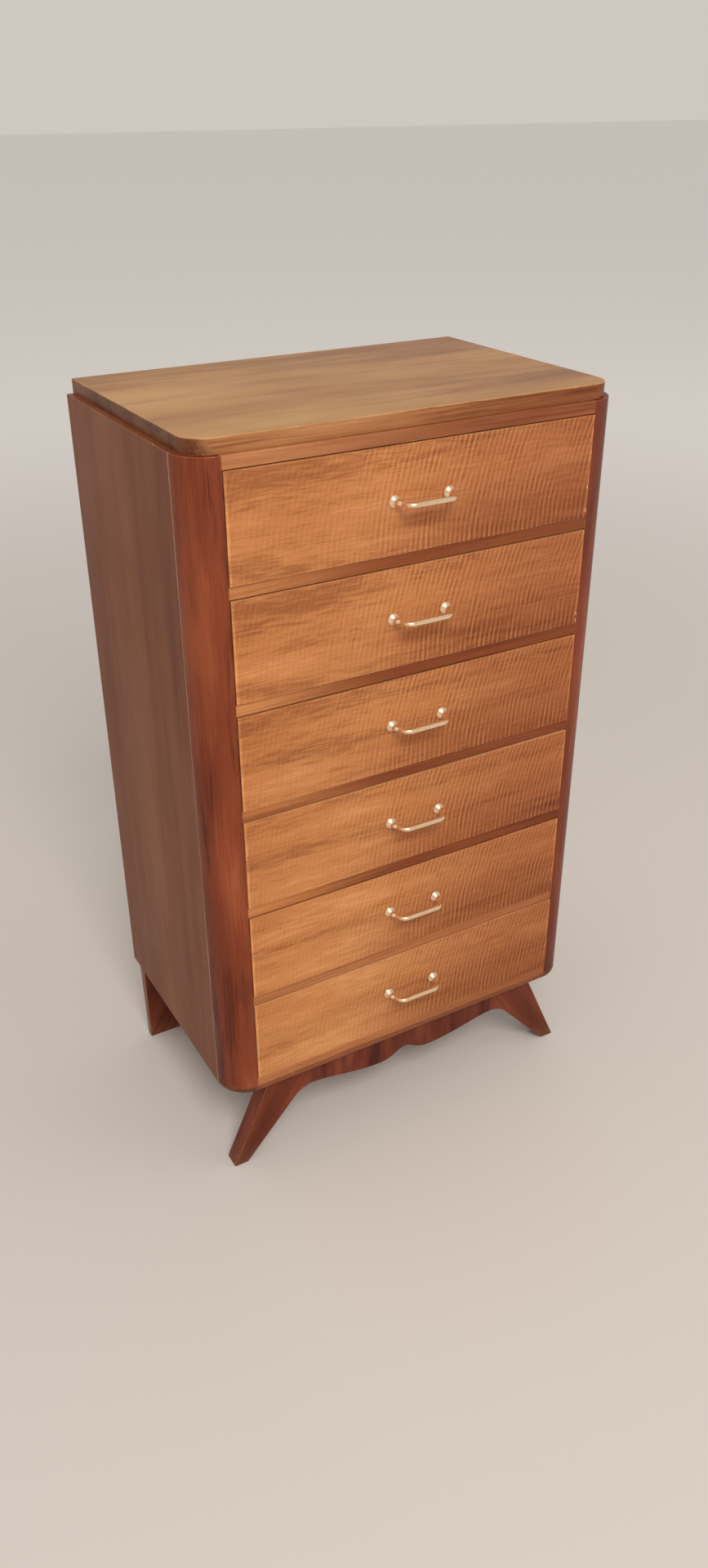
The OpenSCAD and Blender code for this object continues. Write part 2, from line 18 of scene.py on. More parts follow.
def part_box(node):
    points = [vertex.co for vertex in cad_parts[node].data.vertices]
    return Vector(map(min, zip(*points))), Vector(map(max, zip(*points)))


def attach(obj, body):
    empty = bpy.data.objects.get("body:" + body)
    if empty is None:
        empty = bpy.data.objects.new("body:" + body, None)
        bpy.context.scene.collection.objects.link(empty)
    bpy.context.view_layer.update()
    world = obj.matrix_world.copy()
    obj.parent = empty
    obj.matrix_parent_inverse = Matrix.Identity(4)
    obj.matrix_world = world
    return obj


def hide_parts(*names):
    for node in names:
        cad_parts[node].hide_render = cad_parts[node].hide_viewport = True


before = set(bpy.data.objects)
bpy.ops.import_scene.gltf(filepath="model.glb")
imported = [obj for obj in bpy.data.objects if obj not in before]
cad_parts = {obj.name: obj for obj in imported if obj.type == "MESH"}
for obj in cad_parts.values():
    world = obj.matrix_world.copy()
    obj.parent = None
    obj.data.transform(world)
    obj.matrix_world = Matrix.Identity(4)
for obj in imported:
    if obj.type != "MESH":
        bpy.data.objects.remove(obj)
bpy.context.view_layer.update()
LOG = logging.getLogger("chest")

Point = tuple[float, float]
Triple = tuple[float, float, float]
Colour = tuple[float, float, float]
Shares = Callable[[np.ndarray], np.ndarray]
Profile = list[tuple[np.ndarray, np.ndarray, float]]
Socket = bpy.types.NodeSocket

MM = 0.001
# The smallest turn of an outline that counts as a corner.
CREASE = math.radians(25)
# The radius that stands for a straight stretch of an outline.
STRAIGHT = 9.0
# A face gets a line where its wear ends if it is this many times as wide as the wear.
ROOM = 2.2
DRAWERS = range(1, 7)
LOWEST_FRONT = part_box("drawer_6_front")[0].z
FRONT_PITCH = (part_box("drawer_1_front")[0].z - LOWEST_FRONT) / (len(DRAWERS) - 1)


class Side(Enum):
    """The two sides of the chest and their signs along X."""

    LEFT = -1
    RIGHT = 1

    @property
    def word(self) -> str:
        """The side as the names of nodes and pieces have it."""
        return self.name.lower()


class Facing(Enum):
    """The axes of a board's outline, and the axis of its thickness."""

    UP = (0, 1, 2)
    FRONT = (0, 2, 1)


class Grain(Enum):
    """The direction that the fibres of a piece run in."""

    ALONG_X = "along the width"
    ALONG_Y = "along the depth"
    ALONG_Z = "upright"
    SPLAYED = "down along the splayed legs"


def linear(shown: tuple[int, int, int]) -> Colour:
    """Turns a colour in display values of 0 to 255 into linear light."""
    shares = [value / 255 for value in shown]
    return tuple(v / 12.92 if v < 0.04045 else ((v + 0.055) / 1.055) ** 2.4 for v in shares)


# Boards


@dataclass
class Shell:
    """A closed surface with its wear values and the number of each face's finish."""

    points: np.ndarray
    faces: list[list[int]]
    arris: np.ndarray
    raw: np.ndarray
    looks: list[int]


@dataclass(frozen=True)
class Nick:
    """A small chip in an arris: its place, its inward direction, how far and how deep it goes."""

    centre: Triple
    inward: Triple = (-1.0, 0.6, 0.0)
    reach: float = 3.5 * MM
    depth: float = 1.2 * MM


@dataclass
class Ring:
    """One outline with its inward directions, and the hubs of its rounded corners."""

    points: np.ndarray
    inward: np.ndarray
    mitre: np.ndarray
    hub: np.ndarray
    radius: np.ndarray
    arris: np.ndarray

    def inset(self, distance: np.ndarray) -> np.ndarray:
        """Moves the outline inwards.

        Args:
            distance: How far each of its points moves.

        Returns:
            The moved points, with the corners mitred once their rounding is used up.
        """
        past = np.maximum(distance - self.radius, 0)[:, None]
        plain = self.points + self.inward * distance[:, None]
        cornered = self.hub + self.mitre * past
        return np.where((past > 0) & (self.radius[:, None] < STRAIGHT), cornered, plain)


def unit(vector: np.ndarray) -> np.ndarray:
    """The vector with its length made 1."""
    return vector / max(np.linalg.norm(vector), 1e-12)


def everywhere(points: np.ndarray) -> np.ndarray:
    """The full share for every point."""
    return np.ones(len(points))


def round_outline(outline: list[Point], radius: float, reach: float, share: Shares, steps: int = 3) -> Ring:
    """Rounds the sharp corners of an outline and marks them as worn.

    Args:
        outline: The corner points in order.
        radius: The radius that each sharp corner gets.
        reach: How far wear reaches from a corner.
        share: How much of the radius each point gets.
        steps: The number of faces round each corner.

    Returns:
        The rounded outline as a ring.
    """
    corners = np.array(outline, float)
    following = np.roll(corners, -1, axis=0)
    if np.sum(corners[:, 0] * following[:, 1] - following[:, 0] * corners[:, 1]) < 0:
        corners = corners[::-1]
    rows: list[tuple] = []
    for k, here in enumerate(corners):
        before, after = corners[k - 1], corners[(k + 1) % len(corners)]
        a, b = unit(here - before), unit(after - here)
        turn = math.atan2(a[0] * b[1] - a[1] * b[0], float(a @ b))
        in_a, in_b = np.array([-a[1], a[0]]), np.array([-b[1], b[0]])
        mitre = (in_a + in_b) / (1 + float(in_a @ in_b))
        if abs(turn) < CREASE:
            rows.append((here, unit(in_a + in_b), mitre, here, STRAIGHT, 0.0))
            continue
        length_a, length_b = np.linalg.norm(here - before), np.linalg.norm(after - here)
        slope = math.tan(abs(turn) / 2)
        tangent = min(radius * float(share(here[None, :])[0]) * slope, 0.4 * length_a, 0.4 * length_b)
        real = math.copysign(tangent / slope, turn)
        start, end = here - a * tangent, here + b * tangent
        inner = start + in_a * real
        if length_a > ROOM * (tangent + reach):
            rows.append((start - a * reach, in_a, in_a, start, STRAIGHT, 0.0))
        for angle in turn * np.arange(steps + 1) / steps:
            cos, sin = math.cos(angle), math.sin(angle)
            normal = np.array([in_a[0] * cos - in_a[1] * sin, in_a[0] * sin + in_a[1] * cos])
            room = real if turn > 0 else STRAIGHT
            rows.append((inner - normal * real, normal, mitre, inner, room, 1.0))
        if length_b > ROOM * (tangent + reach):
            rows.append((end + b * reach, in_b, in_b, end, STRAIGHT, 0.0))
    return Ring(*(np.array(column) for column in zip(*rows)))


def tube_faces(rings: int, count: int) -> list[list[int]]:
    """The faces of a tube that has a cap at each end.

    Args:
        rings: The number of its rings of points.
        count: The number of points in each.

    Returns:
        The faces ring by ring, and then the two caps.
    """
    faces = []
    for start in range(0, (rings - 1) * count, count):
        for k in range(count):
            here, right = start + k, start + (k + 1) % count
            faces.append([here, right, right + count, here + count])
    last = range((rings - 1) * count, rings * count)
    return [*faces, list(range(count))[::-1], list(last)]


@dataclass
class Board:
    """A board cut to an outline, with eased rims and corners."""

    outline: list[Point]
    facing: Facing
    low: float
    high: float
    low_ease: float = 0.8 * MM
    high_ease: float = 0.8 * MM
    corner: float = 0.8 * MM
    reach: float = 3 * MM
    ease_share: Shares = everywhere
    nicks: tuple[Nick, ...] = ()

    def profile(self, share: np.ndarray) -> Profile:
        """The rows of points from the low cap to the high cap.

        Args:
            share: How much of the easing each point of the outline gets.

        Returns:
            For each row its inset, its height and its wear.
        """
        rows: Profile = []
        level = np.zeros(len(share))
        thick = self.high - self.low
        roomy = thick > ROOM * (max(self.low_ease, self.high_ease) + self.reach)
        for ease in (self.low_ease, self.high_ease):
            radii = ease * share
            half: Profile = [(radii + self.reach, level, 0.0)]
            for angle in np.linspace(0, math.pi / 2, 4 if ease < 2 * MM else 8):
                half.append((radii * (1 - math.sin(angle)), radii * (1 - math.cos(angle)), 1.0))
            if roomy:
                half.append((level, radii + self.reach, 0.0))
            if rows:
                half = [(inset, thick - height, wear) for inset, height, wear in reversed(half)]
            rows += half
        return rows

    def shell(self) -> Shell:
        """Builds the closed surface.

        Returns:
            The shell, with finish 1 on the faces of its edges and finish 0 on the rest.
        """
        ring = round_outline(self.outline, self.corner, self.reach, self.ease_share)
        count = len(ring.points)
        share = self.ease_share(ring.points)
        u_axis, v_axis, w_axis = self.facing.value
        rows, wear, upright = [], [], []
        for inset, height, row_wear in self.profile(share):
            place = np.zeros((count, 3))
            place[:, [u_axis, v_axis]] = ring.inset(inset)
            place[:, w_axis] = self.low + height
            rows.append(place)
            upright.append(inset.max() < 0.4 * max(self.low_ease, self.high_ease))
            on_cap = row_wear == 0.0 and inset.max() > 0
            wear.append(share * (0.0 if on_cap else np.maximum(ring.arris, row_wear)))
        looks: list[int] = []
        for low_row, high_row in zip(upright, upright[1:]):
            looks += [int(low_row and high_row)] * count
        points = np.concatenate(rows)
        raw = np.zeros(len(points))
        for nick in self.nicks:
            away = np.linalg.norm(points - np.array(nick.centre), axis=1) / nick.reach
            depth = np.maximum(1 - away**2, 0) ** 2
            points = points + np.outer(depth * nick.depth, unit(np.array(nick.inward)))
            raw = np.maximum(raw, np.minimum(3 * depth, 1))
        faces = tube_faces(len(rows), count)
        return Shell(points, faces, np.concatenate(wear), raw, [*looks, 0, 0])


def arc(hub: Point, radius: float, start: float, end: float, steps: int) -> list[Point]:
    """Points round a hub from one angle in degrees to another, both ends included."""
    angles = np.radians(np.linspace(start, end, steps + 1))
    return [(hub[0] + radius * math.cos(a), hub[1] + radius * math.sin(a)) for a in angles]


def front_corners(low: Vector, high: Vector, radius: float, steps: int) -> list[Point]:
    """The two rounded front corners of a board seen from above.

    Args:
        low: The lowest corner of its box.
        high: The highest corner of its box.
        radius: The radius of both corners.
        steps: The number of parts that each is cut in.

    Returns:
        The points from left to right.
    """
    y = low.y + radius
    left = arc((low.x + radius, y), radius, 180, 270, steps)
    return left + arc((high.x - radius, y), radius, 270, 360, steps)


def cubic(a: Point, b: Point, c: Point, d: Point, steps: int) -> list[Point]:
    """Points of a cubic curve after its first point.

    Args:
        a: The start.
        b: The first control point.
        c: The second control point.
        d: The end.
        steps: The number of points.

    Returns:
        The points in order.
    """
    found = []
    for t in np.linspace(0, 1, steps + 1)[1:]:
        u = 1 - t
        weights = (u**3, 3 * u * u * t, 3 * u * t * t, t**3)
        found.append(tuple(sum(w * p[k] for w, p in zip(weights, (a, b, c, d))) for k in (0, 1)))
    return found


def add_object(name: str, data: bpy.types.ID) -> bpy.types.Object:
    """Adds an object to the scene.

    Args:
        name: Its name.
        data: Its mesh, lamp or camera.

    Returns:
        The new object.
    """
    made = bpy.data.objects.new(name, data)
    bpy.context.scene.collection.objects.link(made)
    return made


def tidy_mesh(mesh: bpy.types.Mesh) -> None:
    """Joins doubled points, turns all faces outwards and shades them smoothly.

    Args:
        mesh: The mesh, which is changed.
    """
    work = bmesh.new()
    work.from_mesh(mesh)
    bmesh.ops.remove_doubles(work, verts=work.verts, dist=1e-6)
    bmesh.ops.dissolve_degenerate(work, edges=work.edges, dist=1e-7)
    bmesh.ops.recalc_face_normals(work, faces=work.faces)
    work.to_mesh(mesh)
    work.free()
    mesh.polygons.foreach_set("use_smooth", [True] * len(mesh.polygons))
    mesh.update()


# Shader nodes


class Tree:
    """Adds nodes to one node tree and links them."""

    def __init__(self, tree: bpy.types.NodeTree) -> None:
        """Takes the tree to work on."""
        self.tree = tree

    def put(self, socket: Socket, value: object) -> None:
        """Links a socket to an output, or sets its own value.

        Args:
            socket: The input.
            value: An output, a number, a vector or a colour.
        """
        if isinstance(value, bpy.types.NodeSocket):
            self.tree.links.new(value, socket)
        elif socket.type == "RGBA":
            socket.default_value = (*value, 1.0)
        else:
            socket.default_value = value

    def node(
        self, kind: str, *values: object, inputs: dict[int | str, object] | None = None, **settings: object
    ) -> bpy.types.bpy_prop_collection:
        """Adds a node and fills its inputs.

        Args:
            kind: The node's type without its first word.
            *values: What its first inputs get, in order.
            inputs: What its other inputs get, by number or name.
            **settings: Values for the node's own properties.

        Returns:
            The node's outputs.
        """
        node = self.tree.nodes.new("ShaderNode" + kind)
        for key, value in settings.items():
            setattr(node, key, value)
        for key, value in {**dict(enumerate(values)), **(inputs or {})}.items():
            self.put(node.inputs[key], value)
        return node.outputs

    def math(self, operation: str, *values: object, clamp: bool = False) -> Socket:
        """Calculates with one, two or three numbers."""
        return self.node("Math", *values, operation=operation, use_clamp=clamp)[0]

    def times(self, a: object, b: object, clamp: bool = False) -> Socket:
        """The product of two numbers."""
        return self.math("MULTIPLY", a, b, clamp=clamp)

    def plus(self, a: object, b: object, clamp: bool = False) -> Socket:
        """The sum of two numbers."""
        return self.math("ADD", a, b, clamp=clamp)

    def minus(self, a: object, b: object) -> Socket:
        """The difference of two numbers."""
        return self.math("SUBTRACT", a, b)

    def distance(self, a: object, b: object) -> Socket:
        """How far two places are apart."""
        return self.node("VectorMath", a, b, operation="DISTANCE")["Value"]

    def split(self, vector: Socket) -> tuple[Socket, ...]:
        """The three parts of a vector."""
        return tuple(self.node("SeparateXYZ", vector))

    def joined(self, x: object, y: object, z: object) -> Socket:
        """A vector from three parts."""
        return self.node("CombineXYZ", x, y, z)[0]

    def noise(
        self, vector: Socket, stretch: object, detail: float = 2.0, rough: float = 0.5, scale: object = 1.0
    ) -> Socket:
        """Soft random values from 0 to 1.

        Args:
            vector: Where to look them up.
            stretch: How many patches there are to a metre along each axis, or None.
            detail: How many finer layers are added.
            rough: How strong those layers are.
            scale: A factor for all axes.

        Returns:
            The value's socket.
        """
        if stretch is not None:
            vector = self.node("VectorMath", vector, stretch, operation="MULTIPLY")[0]
        inputs = {"Vector": vector, "Scale": scale, "Detail": detail, "Roughness": rough}
        return self.node("TexNoise", inputs=inputs)[0]

    def ease(self, value: object, low: float, high: float, start: float = 0.0, end: float = 1.0) -> Socket:
        """Maps the range from low to high smoothly on that from start to end."""
        return self.node("MapRange", value, low, high, start, end, interpolation_type="SMOOTHSTEP")[0]

    def mix(self, share: object, a: object, b: object, blend: str = "MIX") -> Socket:
        """Lays a share of colour b over colour a."""
        return self.node("Mix", inputs={0: share, 6: a, 7: b}, data_type="RGBA", blend_type=blend)[2]

    def ramp(self, value: Socket, stops: tuple[tuple[float, Colour], ...]) -> Socket:
        """A colour that runs through several stops.

        Args:
            value: The place between the stops.
            stops: The place and the colour of each.

        Returns:
            The colour's socket.
        """
        outputs = self.node("ValToRGB", value)
        ramp = self.tree.nodes[-1].color_ramp
        ramp.interpolation = "EASE"
        while len(ramp.elements) < len(stops):
            ramp.elements.new(0.5)
        for element, (place, colour) in zip(ramp.elements, stops):
            element.position = place
            element.color = (*colour, 1.0)
        return outputs[0]


class GroupTree(Tree):
    """A shared node group with a vector, plain values and plain results."""

    def __init__(self, name: str, results: tuple[str, ...], **values: float) -> None:
        """Makes the group and its sockets.

        Args:
            name: The group's name.
            results: The names of its outputs.
            **values: Its inputs and their usual values, with _ for each space.
        """
        super().__init__(bpy.data.node_groups.new(name, "ShaderNodeTree"))
        sockets = self.tree.interface
        sockets.new_socket(name="Vector", in_out="INPUT", socket_type="NodeSocketVector")
        for key, value in values.items():
            key = key.replace("_", " ")
            socket = sockets.new_socket(name=key, in_out="INPUT", socket_type="NodeSocketFloat")
            socket.default_value = value
        for key in results:
            sockets.new_socket(name=key, in_out="OUTPUT", socket_type="NodeSocketFloat")
        self.given = self.tree.nodes.new("NodeGroupInput").outputs
        self.out = self.tree.nodes.new("NodeGroupOutput").inputs

    def give(self, **results: Socket) -> None:
        """Links the group's results."""
        for key, value in results.items():
            self.put(self.out[key], value)


class Effects:
    """The node groups that several finishes share."""

    def __init__(self) -> None:
        """Builds each group once."""
        self.grain = GroupTree(
            "Wood grain",
            ("Bands", "Fibre", "Pores", "Cloud"),
            Band_Scale=14.0,
            Band_Stretch=0.07,
            Wander=0.012,
            Fleck=6.0,
            Cloud_Scale=4.0,
        )
        self.ripple = GroupTree(
            "Cross ripple", ("Dark", "Light"), Spacing=0.007, Slant=0.2, Bend=0.0, Wander=0.012
        )
        self.wear = GroupTree("Edge wear", ("Rubbed", "Bare"), Amount=0.6, Patch_Scale=30.0)
        self.varnish = GroupTree(
            "Old varnish", ("Roughness", "Height"), Matt=0.4, Spread=0.1, Pores=0.0, Fibre=0.5
        )
        self.fill_grain()
        self.fill_ripple()
        self.fill_wear()
        self.fill_varnish()

    def fill_grain(self) -> None:
        """Growth bands, fibres, pores and clouds of wood whose fibres run along X."""
        tree = self.grain
        where, scale = tree.given["Vector"], tree.given["Band Scale"]
        slow = tree.noise(where, (1.6, 5.0, 5.0))
        shift = tree.times(tree.minus(slow, 0.5), tree.given["Wander"])
        x, y, z = tree.split(where)
        bent = tree.joined(x, tree.plus(y, shift), tree.plus(z, shift))
        stretch = tree.joined(tree.times(scale, tree.given["Band Stretch"]), scale, scale)
        bands = tree.noise(bent, stretch, 4.0, 0.55)
        flecks = tree.joined(tree.given["Fleck"], 300.0, 300.0)
        fibre = tree.noise(bent, flecks, 3.0, 0.6)
        pores = tree.noise(bent, (140.0, 2300.0, 2300.0), 1.0)
        cloud = tree.noise(where, (0.55, 1.3, 1.3), 3.0, scale=tree.given["Cloud Scale"])
        tree.give(
            Bands=tree.ease(bands, 0.28, 0.72),
            Fibre=tree.ease(fibre, 0.25, 0.75),
            Pores=tree.ease(pores, 0.6, 0.74),
            Cloud=tree.ease(cloud, 0.32, 0.68),
        )

    def fill_ripple(self) -> None:
        """Fine cross stripes of figured wood whose fibres run along X."""
        tree = self.ripple
        where = tree.given["Vector"]
        x, _, z = tree.split(where)
        lean = tree.math("MULTIPLY_ADD", z, tree.given["Bend"], tree.given["Slant"])
        leaned = tree.minus(x, tree.times(z, lean))
        soft = tree.noise(where, (14.0, 18.0, 11.0), 3.0, 0.55)
        wander = tree.times(tree.minus(soft, 0.5), tree.given["Wander"])
        turns = tree.math("DIVIDE", tree.plus(leaned, wander), tree.given["Spacing"])
        wave = tree.math("SINE", tree.times(turns, math.tau))
        patches = tree.noise(where, (48.0, 24.0, 26.0), 4.0, 0.65)
        strength = tree.ease(patches, 0.3, 0.68)
        tree.give(
            Dark=tree.times(tree.ease(wave, -1.0, 1.0), strength),
            Light=tree.times(tree.ease(wave, 0.3, -1.0), strength),
        )

    def fill_wear(self) -> None:
        """Rubbed arrises from the wear values that each board carries."""
        tree = self.wear
        where, amount, scale = (tree.given[key] for key in ("Vector", "Amount", "Patch Scale"))
        arris, raw = (tree.node("Attribute", attribute_name=key)["Fac"] for key in ("arris", "raw"))
        patch = tree.noise(where, None, 4.0, 0.65, scale)
        ragged = tree.plus(arris, tree.math("MULTIPLY_ADD", patch, 0.6, -0.3))
        speck = tree.noise(where, None, scale=tree.times(scale, 7.0))
        lost = tree.times(arris, tree.times(speck, patch))
        bare = tree.times(tree.ease(lost, 0.37, 0.42), amount)
        tree.give(
            Rubbed=tree.times(tree.ease(ragged, 0.82, 1.12), amount, clamp=True),
            Bare=tree.math("MAXIMUM", bare, raw),
        )

    def fill_varnish(self) -> None:
        """Uneven old varnish: how matt it is, and how its surface rises and falls."""
        tree = self.varnish
        where = tree.given["Vector"]
        smears = tree.noise(where, (3.0, 5.0, 4.0), 4.0, 0.6, 1.6)
        uneven = tree.math("MULTIPLY_ADD", smears, 2.0, -1.0)
        change = tree.times(uneven, tree.given["Spread"])
        swell = tree.times(tree.noise(where, None, scale=40.0), 0.5)
        height = tree.math("MULTIPLY_ADD", tree.given["Fibre"], 0.12, swell)
        tree.give(
            Roughness=tree.plus(tree.given["Matt"], change, clamp=True),
            Height=tree.math("MULTIPLY_ADD", tree.given["Pores"], -0.25, height),
        )


class Surface(Tree):
    """The node tree of one material, with its shader."""

    def __init__(self, name: str) -> None:
        """Makes the material.

        Args:
            name: Its name.
        """
        self.material = bpy.data.materials.new(name)
        self.material.use_nodes = True
        super().__init__(self.material.node_tree)

    def own_place(self) -> Socket:
        """The coordinates of the object itself."""
        return self.node("TexCoord")["Object"]

    def place(self, group: GroupTree, **values: object) -> bpy.types.bpy_prop_collection:
        """Adds a shared group, with its inputs by name and _ for each space."""
        inputs = {key.replace("_", " "): value for key, value in values.items()}
        return self.node("Group", inputs=inputs, node_tree=group.tree)

    def bump(self, height: Socket, strength: float, depth: float) -> Socket:
        """A normal that follows a height, with a strength and the depth of a height of 1."""
        inputs = {"Strength": strength, "Distance": depth, "Height": height}
        return self.node("Bump", inputs=inputs)[0]

    def shade(self, **values: object) -> bpy.types.Material:
        """Links or sets inputs of the shader.

        Args:
            **values: What they get by name, with _ for each space.

        Returns:
            The material.
        """
        shader = self.tree.nodes["Principled BSDF"]
        for key, value in values.items():
            self.put(shader.inputs[key.replace("_", " ")], value)
        return self.material


# Finishes


@dataclass(frozen=True)
class Ripple:
    """Cross ripple on a veneer: its stripes, and where along X they grow to their full strength."""

    spacing: float = 8.6 * MM
    slant: float = 0.06
    bend: float = 0.9
    wander: float = 12 * MM
    strength: float = 0.85
    start: float = -0.22
    full: float = 0.12
    least: float = 0.2
    glow: float = 0.6
    tint: Colour = (0.72, 0.58, 0.49)


@dataclass(frozen=True)
class Leaves:
    """Matched leaves of veneer: one figure that returns at each pitch and changes slowly."""

    start: float
    pitch: float
    change: float = 0.012


@dataclass(frozen=True)
class Drift:
    """A slow change of tone along X, from one place to another, or to both sides alike. Most of them are
    painted light: painted shade where the light falls off towards the right, or where a rounded part turns
    away from it, and one painted highlight. One is also the wood's own darker colour.
    """

    start: float
    end: float
    tint: Colour
    both_sides: bool = False
    ragged: float = 0.14


@dataclass(frozen=True)
class Streaks:
    """Dark streaks that grow along X, and towards the lower part of each leaf."""

    start: float
    end: float
    tint: Colour
    strength: float
    low_tint: Colour = (0.64, 0.49, 0.43)
    clear_from: float = 140 * MM
    full_to: float = 40 * MM
    ragged: float = 50 * MM
    stretch: Triple = (2.6, 30.0, 52.0)


@dataclass(frozen=True)
class Touched:
    """Wood that hands have darkened under each handle, together with the handle's painted shadow: an oval
    in each leaf.
    """

    height: float = 47 * MM
    half_width: float = 62 * MM
    half_height: float = 19 * MM
    tint: Colour = (0.66, 0.48, 0.42)
    strength: float = 0.62


@dataclass(frozen=True)
class Scratch:
    """A curved dark scratch on an upright face: its hub and radius, its middle and its reach."""

    hub: Point
    radius: float
    middle: Point
    reach: float
    half_width: float = 0.7 * MM
    core: float = 0.2 * MM
    strength: float = 0.8
    tint: Colour = (0.3, 0.2, 0.16)


@dataclass(frozen=True)
class WoodFinish:
    """Varnished wood. Its four tones are dark, middle, light and rubbed, as a screen shows them."""

    name: str
    tones: tuple[tuple[int, int, int], ...]
    grain: Grain = Grain.ALONG_X
    band_scale: float = 14.0
    band_stretch: float = 0.07
    wander: float = 12 * MM
    fibre: float = 0.35
    fleck: float = 6.0
    cloud_scale: float = 4.0
    cloud: float = 0.35
    cloud_tint: Colour = (0.55, 0.5, 0.48)
    pores: float = 0.5
    wear: float = 0.6
    matt: float = 0.42
    coat: float = 0.35
    coat_matt: float = 0.16
    specular: float = 0.22
    bump: float = 0.25
    ripple: Ripple | None = None
    leaves: Leaves | None = None
    tone_and_painted_light_drifts: tuple[Drift, ...] = ()
    streaks: Streaks | None = None
    scratch: Scratch | None = None
    touched: Touched | None = None
    dusty_to: float = 0.0
    shift: Triple = (0.0, 0.0, 0.0)

    def make(self, effects: Effects) -> bpy.types.Material:
        """Builds the material from the shared node groups."""
        return WoodSurface(self, effects).build()


class WoodSurface(Surface):
    """The material of a wood finish, whose colour grows layer by layer."""

    ramp_places = (0.12, 0.5, 0.88)
    leg_lean = math.radians(58)
    pore_tint = (0.45, 0.36, 0.3)
    relief = 0.4 * MM
    bare_wood = linear((226, 190, 146))
    dust = linear((150, 118, 92))

    def __init__(self, look: WoodFinish, effects: Effects) -> None:
        """Starts the colour with the grain.

        Args:
            look: The finish.
            effects: The shared node groups.
        """
        super().__init__(look.name)
        self.look, self.effects = look, effects
        self.where = self.own_place()
        self.x, _, self.z = self.split(self.where)
        self.fibres = self.fibre_vector()
        self.tones = [linear(tone) for tone in look.tones]
        self.grain = self.place(
            effects.grain,
            Vector=self.fibres,
            Band_Scale=look.band_scale,
            Band_Stretch=look.band_stretch,
            Wander=look.wander,
            Fleck=look.fleck,
            Cloud_Scale=look.cloud_scale,
        )
        banded = self.times(self.grain["Bands"], 1 - look.fibre)
        tone = self.math("MULTIPLY_ADD", self.grain["Fibre"], look.fibre, banded)
        self.colour = self.ramp(tone, tuple(zip(self.ramp_places, self.tones)))

    def fibre_vector(self) -> Socket:
        """Turns the object's own coordinates so that the fibres run along X.

        Returns:
            The turned vector.
        """
        look = self.look
        where = self.node("VectorMath", self.where, look.shift, operation="ADD")[0]
        x, y, z = self.split(where)
        if look.leaves:
            height = self.minus(z, look.leaves.start)
            leaf = self.math("FLOOR", self.math("DIVIDE", height, look.leaves.pitch))
            low = self.minus(height, self.times(leaf, look.leaves.pitch))
            return self.joined(x, self.math("MULTIPLY_ADD", leaf, look.leaves.change, y), low)
        if look.grain is Grain.SPLAYED:
            out = self.math("ABSOLUTE", x)
            cos, sin = math.cos(self.leg_lean), math.sin(self.leg_lean)
            along = self.plus(self.times(out, cos), self.times(z, -sin))
            across = self.plus(self.times(out, sin), self.times(z, cos))
            return self.joined(along, y, across)
        turned = {Grain.ALONG_Y: (y, x, z), Grain.ALONG_Z: (z, x, y)}
        return self.joined(*turned[look.grain]) if look.grain in turned else where

    def stain(self, share: Socket, tint: Colour) -> None:
        """Darkens the colour by a share of a tint."""
        self.colour = self.mix(share, self.colour, tint, "MULTIPLY")

    def build(self) -> bpy.types.Material:
        """Lays the other layers over the grain.

        Returns:
            The material.
        """
        look = self.look
        self.stain(self.times(self.grain["Cloud"], look.cloud), look.cloud_tint)
        for wanted, layer in (
            (look.streaks, self.streak),
            (look.ripple, self.ripple),
            (look.tone_and_painted_light_drifts, self.drift),
            (look.touched, self.paint_hand_marks_and_shadow),
            (look.scratch, self.scratch),
            (True, self.age),
            (look.dusty_to, self.settle_dust),
        ):
            if wanted:
                layer()
        varnish = self.place(
            self.effects.varnish,
            Vector=self.where,
            Matt=look.matt,
            Pores=self.grain["Pores"],
            Fibre=self.grain["Fibre"],
        )
        return self.shade(
            Base_Color=self.colour,
            Roughness=varnish["Roughness"],
            Normal=self.bump(varnish["Height"], look.bump, self.relief),
            Coat_Weight=look.coat,
            Coat_Roughness=look.coat_matt,
            Specular_IOR_Level=look.specular,
        )

    def streak(self) -> None:
        """Darkens single streaks of the grain, and reddens the lower part of each leaf."""
        streaks = self.look.streaks
        marks = self.noise(self.fibres, streaks.stretch, 4.0, 0.6)
        along = self.ease(self.x, streaks.start, streaks.end, 0.0, streaks.strength)
        ragged = self.math("MULTIPLY_ADD", marks, streaks.ragged, self.split(self.fibres)[2])
        low = self.ease(ragged, streaks.clear_from, streaks.full_to)
        here = self.times(along, self.math("MULTIPLY_ADD", low, 0.7, 0.3))
        self.stain(self.times(self.ease(marks, 0.5, 0.7), here), streaks.tint)
        self.stain(self.times(along, low), streaks.low_tint)

    def ripple(self) -> None:
        """Lays the cross ripple over the colour."""
        figure = self.look.ripple
        waves = self.place(
            self.effects.ripple,
            Vector=self.fibres,
            Spacing=figure.spacing,
            Slant=figure.slant,
            Bend=figure.bend,
            Wander=figure.wander,
        )
        x = self.split(self.fibres)[0]
        least = figure.least * figure.strength
        here = self.ease(x, figure.start, figure.full, least, figure.strength)
        self.stain(self.times(waves["Dark"], here), figure.tint)
        glow = self.times(self.times(waves["Light"], here), figure.glow)
        self.colour = self.mix(glow, self.colour, self.tones[2])

    def drift(self) -> None:
        """Changes the tone along the width, with the bands as a ragged edge: mostly painted shade, and a
        painted highlight.
        """
        for drift in self.look.tone_and_painted_light_drifts:
            if drift.both_sides:
                place = self.math("ABSOLUTE", self.x)
            else:
                start = self.plus(self.x, -drift.ragged / 2)
                place = self.math("MULTIPLY_ADD", self.grain["Bands"], drift.ragged, start)
            # Painted light: each drift darkens or lightens the colour as the lighting would.
            self.stain(self.ease(place, drift.start, drift.end), drift.tint)

